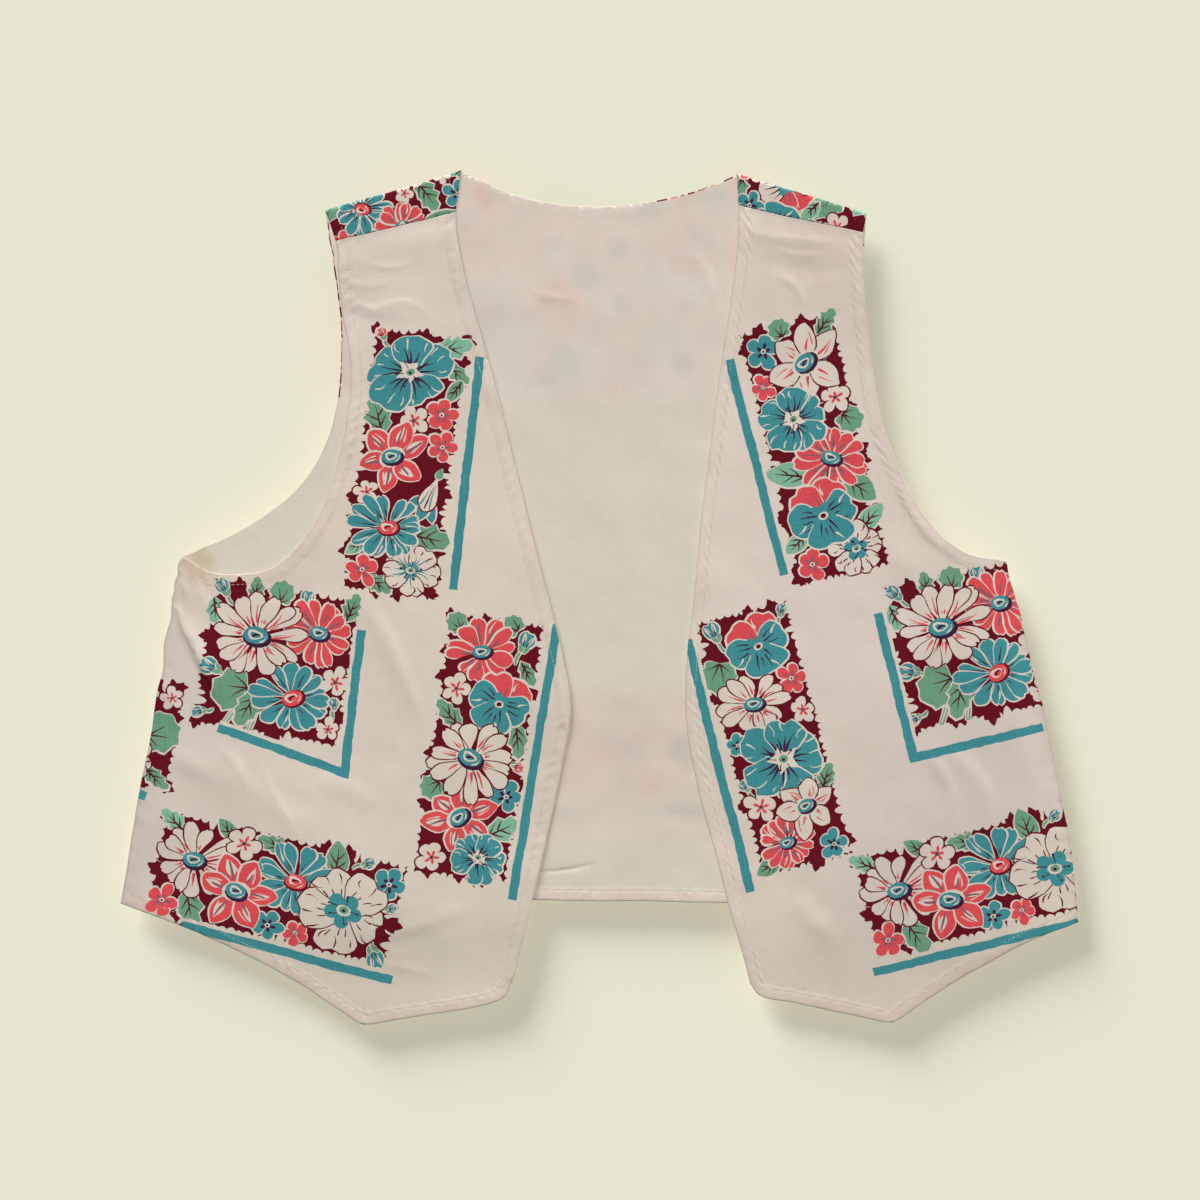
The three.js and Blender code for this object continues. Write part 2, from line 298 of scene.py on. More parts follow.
@dataclass(frozen=True)
class Tab:
    """A small rectangle of doubled cloth, sewn round: its middle, sizes and turn."""

    x: float
    y: float
    wide: float
    tall: float
    turn: float = 0.0

    def loop(self, inwards: float) -> Points:
        """Its outline, moved inwards, at close steps."""
        u, v = self.wide / 2 - inwards, self.tall / 2 - inwards
        corners = np.array(((-u, -v), (u, -v), (u, v), (-u, v), (-u, -v)))
        return Spot(self.x, self.y, self.turn).place(even(corners, 1.1))

    def cover(self, xy: Points) -> np.ndarray:
        """1 inside the tab and 0 outside it."""
        c, s = polar(1.0, self.turn)
        x, y = (xy - (self.x, self.y)).T
        u, v = abs(c * x + s * y), abs(c * y - s * x)
        return smooth((self.wide / 2 - u) / 1.2) * smooth((self.tall / 2 - v) / 1.2)


# ---- the print


class Dye(Enum):
    """The colours of the print, as shown, from 0 to 255. CREAM is bare cloth."""

    CREAM = (212, 198, 183)
    MAROON = (96, 6, 24)
    TEAL = (60, 135, 141)
    CORAL = (212, 74, 79)
    GREEN = (104, 151, 121)
    MINT = (124, 175, 147)
    MAUVE = (136, 88, 98)
    PLUM = (60, 22, 52)
    BROWN = (78, 26, 32)

    @property
    def linear(self) -> Triple:
        """The colour as linear values."""
        return linear(self.value)


def linear(colour: Sequence[float]) -> Triple:
    """A colour shown from 0 to 255, as linear values from 0 to 1."""
    shown = np.array(colour, float) / 255.0
    low = shown / 12.92
    high = ((shown + 0.055) / 1.055) ** 2.4
    return tuple(float(c) for c in np.where(shown <= 0.04045, low, high))


CREAM, MAROON, TEAL, CORAL, GREEN, MINT, MAUVE, PLUM, BROWN = Dye

PLATE_SHIFT = {  # each colour is printed from a plate of its own, not quite in register
    TEAL: (-0.22, 0.15),
    CORAL: (0.3, -0.2),
    MAUVE: (0.25, -0.1),
    GREEN: (0.15, 0.3),
    MINT: (0.15, 0.3),
    PLUM: (0.0, -0.12),
}


@dataclass(frozen=True)
class Patch:
    """A filled outline of one colour."""

    points: Points
    dye: Dye


@dataclass(frozen=True)
class Spot:
    """Where a motif sits, how far it is turned, in degrees, and how it is narrowed."""

    x: float
    y: float
    turn: float = 0.0
    squash: float = 1.0

    def place(self, points: Points) -> Points:
        """Points drawn about the origin, moved to the spot."""
        c, s = polar(1.0, self.turn)
        x, y = points[:, 0], points[:, 1] * self.squash
        return np.column_stack((self.x + c * x - s * y, self.y + s * x + c * y))


def petal(length: float, width: float, start: float = 0.0, peak: float = 0.62,
          blunt: float = 0.6, notch: float = 0.0, bend: float = 0.0, grow: float = 0.0,
          count: int = 7) -> Points:
    """A petal's or leaf's outline along +x.

    Args:
        length: From base to tip.
        width: At its widest.
        start: Where its base is on the x axis.
        peak: How far along it is widest, from 0 to 1.
        blunt: Low for round ends, high for pointed ones.
        notch: How far the middle of the tip is drawn in.
        bend: How far the tip is moved aside.
        grow: How far the outline is moved outwards.
        count: Points along each side.

    Returns:
        The outline's points.
    """
    t = 0.5 - 0.5 * np.cos(np.pi * np.arange(1, count + 1) / (count + 1))
    half = (width / 2 + grow) * np.sin(np.pi * t ** (math.log(0.5) / math.log(peak))) ** blunt
    x = start - grow + (length + 2 * grow) * t
    middle = bend * t**2
    low = np.column_stack((x, middle - half))
    high = np.column_stack((x, middle + half))[::-1]
    tip = (start + length + grow - notch, bend)
    return np.vstack(((start - grow, 0.0), low, tip, high))


def stroke(a: Pair, b: Pair, width: float, bend: float = 0.0, taper: float = 0.15) -> Points:
    """A brush stroke's outline from a to b, bent aside and tapering to its end."""
    t = np.linspace(0.0, 1.0, 5)
    run = np.array(b, float) - a
    across = np.array((-run[1], run[0])) / max(1e-9, math.hypot(*run))
    line = np.array(a, float) + t[:, None] * run + (4 * bend * t * (1 - t))[:, None] * across
    half = (width / 2 * (1.0 - (1.0 - taper) * t) * (0.55 + 0.45 * smooth(4 * t)))[:, None]
    return np.vstack((line - half * across, (line + half * across)[::-1]))


def ring(rx: float, ry: float, count: int = 12, at: Pair = (0.0, 0.0), lobes: int = 2,
         wave: float = 0.05) -> Points:
    """A wavy oval's outline."""
    a = np.arange(count) * math.tau / count
    r = 1.0 + wave * np.sin(lobes * a + 0.7)
    return np.column_stack((at[0] + rx * r * np.cos(a), at[1] + ry * r * np.sin(a)))


# The common flowers and leaves of the print.
Kind = Enum("Kind", "DAISY PETUNIA CLEMATIS PANSY FLORET BELL BUD STEM LEAF FAN_LEAF")
DAISY, PETUNIA, CLEMATIS, PANSY, FLORET, BELL, BUD, STEM, LEAF, FAN_LEAF = Kind


@dataclass(frozen=True)
class Motif:
    """One flower or leaf of a design: its middle, size, colour and turn in its block."""

    kind: Kind
    u: float
    v: float
    size: float
    dye: Dye = CREAM
    turn: float = 0.0


@dataclass
class Artist:
    """Draws flowers and leaves as patches, in the order in which they cover each other.

    The method of each kind takes its spot, its size from the spot outwards and its dye.
    """

    seed: int
    halo: float = 0.9  # bare cloth left round a coloured shape
    line: float = 0.85  # dark line round a cream one
    shake: float = 0.12  # of a hand-cut outline
    patches: list[Patch] = field(default_factory=list)

    def __post_init__(self) -> None:
        """Start the artist's own draws."""
        self.rng = np.random.default_rng(self.seed)

    def vary(self, low: float, high: float) -> float:
        """A draw between two numbers."""
        return float(self.rng.uniform(low, high))

    def chance(self, share: float) -> bool:
        """True in a share of the draws."""
        return self.vary(0.0, 1.0) < share

    def ink(self, points: Points, dye: Dye, *spots: Spot) -> None:
        """Add a patch, moved through its spots from the innermost to the outermost."""
        for spot in spots:
            points = spot.place(points)
        shaken = points + self.rng.uniform(-self.shake, self.shake, points.shape)
        self.patches.append(Patch(shaken + PLATE_SHIFT.get(dye, (0.0, 0.0)), dye))

    def edged(self, shape: Callable[[float], Points], dye: Dye, *spots: Spot) -> None:
        """Add a shape with the line or bare cloth round it that its colour has."""
        cream = dye is CREAM
        self.ink(shape(self.line if cream else self.halo), MAROON if cream else CREAM, *spots)
        self.ink(shape(0.0), dye, *spots)

    def brush(self, dye: Dye, spots: Sequence[Spot], a: Pair, b: Pair, *sizes: float) -> None:
        """Add a brush stroke from a to b: see stroke for its width, bend and taper."""
        self.ink(stroke(a, b, *sizes), dye, *spots)

    def ruffled(self, length: float, width: float, peak: float, blunt: float, ruffle: float,
                **more: float) -> Callable[[float], Points]:
        """A petal with an uneven edge, for edged: see petal for the sizes."""
        count = 11 if length > 13 else 7
        uneven = self.rng.uniform(-ruffle, ruffle, (2 * count + 2, 2))
        uneven = 0.9 * uneven + 0.5 * (np.roll(uneven, 1, axis=0) + np.roll(uneven, -1, axis=0))
        uneven[0] = 0.0
        return lambda grow: petal(length, width, 0.0, peak, blunt, grow=grow, count=count,
                                  **more) + uneven

    def eye(self, size: float, dye: Dye, *spots: Spot) -> None:
        """A flower's raised middle, with a dark rim and a light on it."""
        rim = PLUM if dye is TEAL else MAROON
        turned = (Spot(0.0, 0.0, self.vary(-25, 25)), *spots)
        self.ink(ring(size * 1.22, size * 0.98, at=(0.12 * size, -0.1 * size)), rim, *turned)
        self.ink(ring(size * 1.05, size * 0.84, at=(-0.02 * size, 0.05 * size)), dye, *turned)
        self.ink(ring(size * 0.66, size * 0.46, 10, (-0.14 * size, 0.1 * size), 3, 0.14),
                 CREAM, *turned)
        self.ink(ring(size * 0.46, size * 0.27, 9, (-0.08 * size, 0.05 * size), 3, 0.14), dye,
                 *turned)
        self.brush(rim, turned, (-0.34 * size, -0.08 * size), (0.3 * size, 0.2 * size),
                   0.3 * size, 0.1 * size, 0.5)
        self.brush(CREAM, turned, (0.4 * size, -0.5 * size), (0.8 * size, 0.26 * size),
                   0.2 * size, -0.14 * size)

    def streak(self, dye: Dye, start: float, end: float, *spots: Spot) -> None:
        """The marks along a petal's middle that go with its colour."""
        run = end - start
        aside = self.vary(-0.08, 0.08) * run
        foot = (start, aside)
        if dye is CREAM:
            self.brush(CORAL, spots, foot, (end, -aside), self.vary(1.3, 2.1), aside)
            if self.chance(0.5):
                self.brush(CORAL, spots, (start, aside - 1.5), (start + run * 0.6, -1.7), 0.9)
            if self.chance(0.55):
                self.brush(MAROON, spots, (start, aside + 1.1),
                           (start + run * 0.75, aside + 1.0), 0.65)
        elif dye is CORAL:
            self.brush(MAUVE, spots, foot, (end * 1.12, -aside), self.vary(1.6, 2.5), aside, 0.45)
        else:
            self.brush(PLUM, spots, foot, (end * 1.15, -aside), self.vary(0.9, 1.2), aside)
            if self.chance(0.4):
                self.brush(PLUM, spots, (start, aside + 1.3), (start + run * 0.7, 1.6), 0.8)

    def daisy(self, spot: Spot, size: float, dye: Dye) -> None:
        """A daisy of many blunt petals, seen a little from the side."""
        count = int(self.rng.integers(12, 16)) if size > 16 else 11
        core = 0.25 * size
        base = 0.4 * core
        width = math.tau * size * 0.72 / count
        lean = self.vary(0, 360)
        for k in self.rng.permutation(count):
            turn = 360 * k / count + self.vary(-7, 7)
            far = 1.0 + 0.1 * math.cos(math.radians(turn - lean))
            length = size * far * self.vary(0.88, 1.05) - base
            wide = width * self.vary(0.82, 1.25)
            at = Spot(*polar(base, turn), turn)
            shape = self.ruffled(length, wide, self.vary(0.64, 0.8), self.vary(0.45, 0.65),
                                 0.014 * size, notch=self.vary(0.0, 0.08) * size,
                                 bend=self.vary(-0.1, 0.1) * size)
            self.edged(shape, dye, at, spot)
            if self.chance(0.85):
                self.streak(dye, core * 0.9, length * self.vary(0.4, 0.72), at, spot)
            if dye is not CREAM and self.chance(0.3):
                self.brush(CREAM, (at, spot), (length * 0.5, wide * 0.2),
                           (length * 0.95, wide * 0.1), 1.3, 0.4)
        self.eye(core, CORAL if dye is TEAL else TEAL, spot)

    def petunia(self, spot: Spot, size: float, dye: Dye) -> None:
        """A broad flower of five ruffled petals, with a star or small petals inside."""
        cream = dye is CREAM
        throat = TEAL if cream else PLUM if dye is TEAL else MAUVE
        turns = [72 * k + self.vary(-8, 8) for k in range(5)]
        for k in (0, 2, 4, 1, 3):
            shape = self.ruffled(size * self.vary(0.88, 1.08), size * self.vary(0.88, 1.04), 0.68,
                                 0.44, 0.04 * size, notch=self.vary(0.03, 0.13) * size)
            self.edged(shape, dye, Spot(0, 0, turns[k]), spot)
            for fan in (-24, 4, 25):
                aim = turns[k] + fan + self.vary(-5, 5)
                self.brush(MAROON if cream else CREAM, (spot,),
                           polar(size * self.vary(0.84, 0.96), aim),
                           polar(size * self.vary(0.6, 0.7), aim + self.vary(-7, 7)),
                           self.vary(0.8, 1.5), self.vary(-1.4, 1.4), 0.25)
        starred = self.chance(0.55)
        for turn in turns:
            for fan in (-19, 0, 17):
                aim = turn + fan + self.vary(-4, 4)
                reach = size * self.vary(0.5, 0.76)
                if starred:
                    self.brush(throat, (spot,), polar(size * 0.18, aim), polar(reach, aim),
                               size * 0.075, self.vary(-1.2, 1.2))
                else:
                    self.brush(MAROON if cream else throat, (spot,), polar(reach, aim),
                               polar(reach - size * 0.2, aim + 4), 1.0, self.vary(-0.4, 0.4), 0.4)
            if not starred:
                inner = petal(size * 0.44, size * 0.34, 0.0, 0.62, 0.5)
                self.ink(inner, throat if cream else CREAM, Spot(0, 0, turn + 6), spot)
        if starred:
            star = np.array([polar(size * (0.36 if k % 2 else 0.2) * self.vary(0.8, 1.2), 36 * k)
                             for k in range(10)])
            self.ink(star, throat if cream else CREAM, spot)
        for turn in turns:
            aim = turn + self.vary(10, 40)
            tip = polar(size * self.vary(0.28, 0.4), aim)
            self.brush(PLUM, (spot,), (0.0, 0.0), tip, 0.8, self.vary(-1.0, 1.0), 0.7)
            self.ink(ring(0.85, 0.75, 6, tip), PLUM, spot)
        self.ink(ring(size * 0.17, size * 0.14, 9), CREAM, spot)
        self.ink(ring(size * 0.11, size * 0.1, 8), GREEN if dye is not CORAL else MAUVE, spot)
        self.ink(ring(size * 0.045, size * 0.045, 6), PLUM, spot)

    def clematis(self, spot: Spot, size: float, dye: Dye) -> None:
        """A flower of six pointed petals, some behind and some in front."""
        core = 0.24 * size
        for k in (0, 2, 4, 1, 3, 5):
            turn = 60 * k + self.vary(-8, 8)
            length = size * self.vary(0.88, 1.1) - core * 0.4
            wide = size * self.vary(0.5, 0.66)
            bend = self.vary(-0.16, 0.16) * size
            at = Spot(*polar(core * 0.4, turn), turn)
            if dye is not TEAL and self.chance(0.6):
                self.brush(TEAL, (at, spot), (length * 0.3, -wide * 0.5),
                           (length * 0.95, bend - wide * 0.12), 2.2, -wide * 0.14)
            shape = self.ruffled(length, wide, 0.54, 0.72, 0.018 * size, bend=bend)
            self.edged(shape, dye, at, spot)
            if dye is not CREAM:
                light = petal(length * 0.5, wide * self.vary(0.2, 0.42), length * 0.34, 0.4, 0.9,
                              bend=bend * 0.5)
                self.ink(light, CREAM, at, spot)
            self.streak(dye, core, length * self.vary(0.55, 0.78), at, spot)
            self.brush(CORAL if dye is CREAM else CREAM, (at, spot),
                       (length * 0.4, -wide * 0.26), (length * 0.8, bend * 0.6 - wide * 0.1),
                       1.0, -0.4)
        self.ink(ring(core * 1.5, core * 1.22), CREAM, spot)
        self.eye(core * 1.05, CORAL if dye is TEAL else TEAL, spot)

    def pansy(self, spot: Spot, size: float, dye: Dye) -> None:
        """A flower of two petals behind, one to each side and a broad one below."""
        behind = TEAL if dye is CORAL else CORAL
        parts = ((55, 1.0, 0.92, behind), (123, 0.96, 0.96, behind), (4, 0.9, 0.9, dye),
                 (176, 0.92, 0.86, dye), (-90, 0.86, 1.3, dye))
        for turn, out, wide, colour in parts:
            at = Spot(0, 0, turn)
            shape = self.ruffled(size * out, size * wide, 0.64, 0.42, 0.03 * size,
                                 notch=self.vary(0.02, 0.09) * size)
            self.edged(shape, colour, at, spot)
            blot = MAUVE if colour is CORAL else PLUM
            for fan in (-26, -9, 9, 26):
                tip = polar(size * self.vary(0.5, 0.72), turn + fan)
                self.brush(blot, (spot,), (0.0, 0.0), tip, size * 0.09, fan * 0.03)
            self.brush(CREAM, (spot,), polar(size * 0.55, turn + 15),
                       polar(size * 0.84, turn + 21), 1.5, 0.5)
        for k in range(5):
            self.ink(petal(size * 0.36, size * 0.24, 0.0, 0.6, 0.6), TEAL,
                     Spot(0, 0, 72 * k - 90 + self.vary(-8, 8)), spot)
        self.ink(ring(size * 0.14, size * 0.11, 9), CREAM, spot)
        self.ink(ring(size * 0.08, size * 0.07, 7), MAROON, spot)

    def floret(self, spot: Spot, size: float, dye: Dye) -> None:
        """A small flower of five round petals."""
        at = [Spot(0, 0, 72 * k + self.vary(-8, 8)) for k in range(5)]
        cream = dye is CREAM
        shapes = [self.ruffled(size * self.vary(0.88, 1.12), size * self.vary(0.66, 0.8), 0.66,
                               0.5, 0.03 * size) for _ in at]
        rim = self.line if cream else self.halo * 0.85
        for grow, colour in ((rim, MAROON if cream else CREAM), (0.0, dye)):
            for turn, shape in zip(at, shapes):
                self.ink(shape(grow), colour, turn, spot)
        star = CORAL if cream else MAUVE if dye is CORAL else PLUM
        for turn in at:
            self.ink(petal(size * self.vary(0.4, 0.58), size * 0.2, 0.0, 0.6, 0.8), star, turn,
                     spot)
        self.ink(ring(size * 0.17, size * 0.15, 7), MAUVE if cream else CREAM, spot)
        self.ink(ring(size * 0.08, size * 0.08, 5), PLUM, spot)

    def bell(self, spot: Spot, size: float, dye: Dye) -> None:
        """A long bell seen from the side, its mouth at the far end."""
        flare = TEAL if dye is CREAM else dye
        for turn in (-38, 36, -2):
            at = Spot(size * 0.6, 0, turn + self.vary(-5, 5))
            self.edged(self.ruffled(size * 0.52, size * 0.27, 0.42, 0.85, 0.01 * size), flare, at,
                       spot)
            self.brush(PLUM, (at, spot), (0, 0), (size * 0.32, 0), 0.9)
        self.edged(self.ruffled(size * 0.86, size * 0.38, 0.74, 0.6, 0.01 * size), CREAM, spot)
        for side in (-1, 0, 1):
            self.brush(TEAL if side else MAROON, (spot,), (size * 0.82, side * size * 0.12),
                       (size * 0.26, side * size * 0.04), 1.2, side * 0.4)
        self.edged(lambda grow: petal(size * 0.24, size * 0.17, -size * 0.1, grow=grow * 0.5),
                   GREEN, spot)

    def bud(self, spot: Spot, size: float, dye: Dye) -> None:
        """A closed bud on a short stem."""
        colour = TEAL if dye is CREAM else dye
        self.edged(lambda grow: stroke((-size * 0.9, 0), (0, 0), 1.6 + 1.6 * grow, 1.0, 0.9),
                   GREEN, spot)
        self.edged(self.ruffled(size, size * 0.86, 0.55, 0.5, 0.03 * size, notch=0.12 * size),
                   colour, spot)
        for side in (-1, 1):
            self.ink(petal(size * 0.6, size * 0.2, size * 0.3, 0.5, 0.8, bend=side * size * 0.1),
                     CREAM, Spot(0, side * size * 0.16), spot)
            self.brush(PLUM, (spot,), (size * 0.15, side * size * 0.08),
                       (size * 0.8, side * size * 0.2), 1.0)
        for turn in (-32, 30):
            self.edged(lambda grow: petal(size * 0.5, size * 0.24, 0, 0.45, 0.8,
                                          grow=grow * 0.5), GREEN,
                       Spot(-size * 0.2, 0, turn), spot)

    def stem(self, spot: Spot, size: float, dye: Dye) -> None:
        """A stem with bare cloth down its middle."""
        self.edged(lambda grow: stroke((0, 0), (size, 0), 2.7 + 2 * grow, 0.9, 0.85), GREEN, spot)
        self.brush(CREAM, (spot,), (0.5, 0), (size - 1, 0), 1.1, 0.9, 0.8)

    def veins(self, length: float, width: float, bend: float, *spots: Spot) -> None:
        """A leaf's dark ribs, fanning out of its base."""
        self.brush(BROWN, spots, (length * 0.03, 0), (length * 0.8, bend * 0.55), 1.8,
                   -bend * 0.1, 0.1)
        ribs = ((0.16, 1), (0.24, -1), (0.38, 1), (0.48, -1))[:4 if length > 11 else 3]
        for k, side in ribs:
            reach = width * (0.36 - 0.22 * abs(k - 0.3)) * self.vary(0.8, 1.15)
            self.brush(BROWN, spots, (length * k, bend * k * k),
                       (length * (k + 0.26), bend * k + side * reach), 1.35, side * 0.25)

    def leaf(self, spot: Spot, size: float, dye: Dye) -> None:
        """A pointed leaf along the spot's turn, its base at the spot."""
        colour = MINT if self.chance(0.3) else GREEN
        width = size * self.vary(0.5, 0.72)
        bend = self.vary(-0.16, 0.16) * size
        teeth = int(self.rng.integers(3, 5))
        toothed = size > 9 and self.chance(0.75)
        uneven = self.rng.uniform(0.86, 1.14, (2, 2 * teeth - 1))

        def shape(grow: float) -> Points:
            if not toothed:
                return petal(size, width, 0.0, 0.44, 0.75, bend=bend, grow=grow)
            t = np.arange(1, 2 * teeth) / (2 * teeth)
            saw = np.where(np.arange(1, 2 * teeth) % 2, 1.0, 0.68)
            half = width / 2 * np.sin(np.pi * t**0.85) ** 0.7 * saw
            x = (size + grow) * (t + 0.12 * (saw - 0.68))
            low = np.column_stack((x, bend * t**2 - half * uneven[0] - grow))
            high = np.column_stack((x, bend * t**2 + half * uneven[1] + grow))[::-1]
            return np.vstack(((-grow, 0.0), low, (size + 1.6 * grow, bend), high))

        self.edged(shape, colour, spot)
        self.veins(size, width, bend, spot)

    def fan_leaf(self, spot: Spot, size: float, dye: Dye) -> None:
        """A round leaf with scallops and veins that spread from its base."""
        a = np.linspace(-2.6, 2.6, 27)
        uneven = self.rng.uniform(-0.03, 0.03, 27) * size

        def shape(grow: float) -> Points:
            r = size * 0.5 * (1.0 + 0.09 * np.cos(8 * a)) + grow + uneven
            fan = np.column_stack((size * 0.46 + r * np.cos(a), r * np.sin(a)))
            return np.vstack((fan, (size * 0.1 - grow * 0.6, 0.0)))

        self.edged(shape, GREEN, spot)
        for turn in (-48, -16, 14, 46):
            reach = size * (0.78 - abs(turn) * 0.006) * self.vary(0.85, 1.05)
            self.brush(BROWN, (spot,), (size * 0.1, 0), polar(reach, turn), 1.3,
                       self.vary(-0.5, 0.5))

    def draw(self, motif: Motif) -> None:
        """Draw one motif of a design."""
        squash, turn, size = 1.0, motif.turn, motif.size
        if motif.kind in (DAISY, CLEMATIS, PETUNIA):
            squash, turn = self.vary(0.84, 0.98), motif.turn + self.vary(-20, 20)
            size *= 1.07
        spot = Spot(motif.u, motif.v, turn, squash)
        getattr(self, motif.kind.name.lower())(spot, size, motif.dye)

    def ground(self, width: float, height: float) -> None:
        """The dark ground of a block, with scallops and leafy points round its edge."""
        corners = np.array(((-1, -1), (1, -1), (1, 1), (-1, 1), (-1, -1))) * (width, height) / 2
        points, leaves = [], []
        for a, b in zip(corners, corners[1:]):
            run = math.dist(a, b)
            along, out = (b - a) / run, np.array((b[1] - a[1], a[0] - b[0])) / run
            aim = math.degrees(math.atan2(out[1], out[0]))
            at = 0.0
            while at < run - 2.0:
                step = self.vary(3.2, 6.4)
                deep = self.vary(4.0, 7.0) if self.chance(0.12) else self.vary(1.2, 2.6)
                high = self.vary(-0.6, 0.9)
                for share in (0.0, 0.1, 0.27, 0.5, 0.73, 0.9):
                    by_out = high + 0.5 - (deep + high) * math.sin(math.pi * share) ** 0.75
                    points.append(a + along * min(run, at + step * share) + out * by_out)
                if self.chance(0.15):
                    leaves.append(Spot(*(a + along * (at + step / 2) - out * 2.4), aim))
                at += step
        self.ink(np.array(points), MAROON)
        for leaf in leaves:
            size = self.vary(6.4, 10.0)
            lean = self.vary(-25, 25)
            for fan, share in ((-50, 0.75), (46, 0.8), (0, 1.0)):
                lobe = petal(size * share, size * 0.6, -1.4, 0.42, 0.8)
                self.ink(lobe, MAROON, Spot(0, 0, fan + lean), leaf)

    def fill(self, design: "Design") -> None:
        """Put leaves, buds and florets in the gaps that a design's flowers leave."""
        width, height = design.width, design.height
        across = np.arange(-width / 2 + 1.5, width / 2 - 1, 2.4)
        up = np.arange(-height / 2 + 1.5, height / 2 - 1, 2.4)
        places = np.stack(np.meshgrid(across, up), axis=-1).reshape(-1, 2)
        places += self.rng.uniform(-0.7, 0.7, places.shape)
        wall = np.minimum(width / 2 - abs(places[:, 0]), height / 2 - abs(places[:, 1]))
        discs = [(m.u, m.v, m.size * 0.84) for m in design.motifs]
        while True:
            gaps = np.array([np.hypot(*(places - (u, v)).T) - r for u, v, r in discs])
            gap = np.minimum(gaps.min(axis=0), wall + 2.6)
            best = int(gap.argmax())
            room = float(gap[best])
            if room < design.least:
                return
            u, v, _ = discs[int(gaps[:, best].argmin())]
            x, y = places[best]
            away = math.degrees(math.atan2(y - v, x - u)) + self.vary(-30, 30)
            reach = min(room, wall[best] + 3.2) * 1.25
            back = polar(room + 3.0, away)
            draw = self.vary(0, 1)
            if room > 6.0 and draw < 0.26 and wall[best] > 5:
                dye = (CORAL, CREAM, TEAL)[int(draw * 11.5) % 3]
                self.floret(Spot(x, y, away), min(room, wall[best] + 1, 9), dye)
            elif room > 5.4 and draw < 0.38:
                dye = CREAM if draw < 0.34 else CORAL
                self.bud(Spot(x - back[0] * 0.2, y - back[1] * 0.2, away), room * 1.05, dye)
            elif draw < 0.47 and room > 5.0:
                self.fan_leaf(Spot(x - back[0] * 0.6, y - back[1] * 0.6, away), room + reach, GREEN)
            else:
                self.leaf(Spot(x - back[0], y - back[1], away), room + 3.5 + reach, GREEN)
            discs.append((x, y, room * 0.92))


def border(width: float, height: float, seed: int) -> list[Patch]:
    """A close border of flowers, all over, in staggered rows."""
    rng = np.random.default_rng(seed)
    kinds = (DAISY, PETUNIA, CLEMATIS, PANSY, PETUNIA, DAISY)
    dyes = (CORAL, CREAM, TEAL, CORAL, CREAM, CORAL, TEAL)
    flowers = []
    count = 0
    v = -height / 2 + 17
    while v < height / 2 - 8:
        upper = v > height / 2 - 55
        u = -width / 2 + 18 * (0.9 if count % 2 else 1.5)
        while u < width / 2 - 11:
            small = upper and count % 3
            size = (8.5 if small else 17.0) * rng.uniform(0.9, 1.1)
            flowers.append(Motif(FLORET if small else kinds[(count * 5) % len(kinds)],
                                 u + rng.uniform(-2, 2), v + rng.uniform(-3, 3), size,
                                 dyes[(count * 3) % len(dyes)], rng.uniform(0, 360)))
            u += 22.0 if small else 38.0
            count += 1
        v += 21.0 if upper else 34.0
    return Design(width, height, tuple(flowers), seed, 4.4).patches()


def bar(points: Sequence[Pair], width: float, seed: int, dye: Dye = TEAL) -> Patch:
    """A printed bar with hand-cut edges, turning its corners square.

    Args:
        points: Its middle line.
        width: Across the bar.
        seed: Of its uneven edges.
        dye: Its colour.

    Returns:
        The bar as one patch.
    """
    rng = np.random.default_rng(seed)
    line = np.array(points, float)
    normal = left_of(np.diff(line, axis=0))
    sides = []
    for side in (1, -1):
        corners = [line[0] + side * width / 2 * normal[0]]
        for k in range(1, len(line) - 1):
            mean = normal[k - 1] + normal[k]
            corners.append(line[k] + side * width * mean / (mean @ mean))
        corners.append(line[-1] + side * width / 2 * normal[-1])
        edge = [corners[0]]
        for a, b in zip(corners, corners[1:]):
            steps = max(1, round(math.dist(a, b) / 3.2))
            for k in range(1, steps + 1):
                shake = rng.uniform(-0.32, 0.32, 2) if k < steps else (0.0, 0.0)
                edge.append(a + (b - a) * k / steps + shake)
        sides.append(np.array(edge))
    return Patch(np.vstack((sides[0], sides[1][::-1])), dye)


@dataclass(frozen=True)
class Design:
    """The flowers of one block of the tablecloth, and the block's size.

    least is the smallest gap between the flowers that is filled, as a radius.
    """

    width: float
    height: float
    motifs: tuple[Motif, ...]
    seed: int
    least: float = 5.0

    def patches(self) -> list[Patch]:
        """The block as it is printed, about its own middle."""
        artist = Artist(self.seed)
        artist.ground(self.width, self.height)
        artist.fill(self)
        for motif in self.motifs:
            artist.draw(motif)
        return artist.patches


CHEST_RIGHT = Design(53, 152, each(
    Motif,
    (FLORET, 17, 30, 9.5, CORAL, 10), (FLORET, 1.5, 25, 9, CREAM, 40), (FLORET, 20, 12, 8.5, CORAL),
    (PETUNIA, -4, 52, 23, TEAL, 20), (CLEMATIS, -8, 3, 20, CORAL, 12),
    (BELL, 21, -3, 27, CREAM, 252), (FLORET, -17, -64, 9.5, CORAL, 20), (PETUNIA, 11, -61, 15.5),
    (DAISY, -5, -38, 20, TEAL),
), 12)

CHEST_LEFT = Design(54, 149, each(
    Motif,
    (FLORET, -16, 62, 10, TEAL), (FLORET, 18, 27, 9, CREAM, 15), (CLEMATIS, 6, 50, 22, CREAM, 25),
    (DAISY, 8, -7, 19.5, CORAL), (PETUNIA, -8, 20, 19.5, TEAL), (PETUNIA, 10, -61, 15),
    (FLORET, -17, -64, 9.5, CORAL), (PANSY, -4, -38, 21.5, TEAL, 8),
), 23)

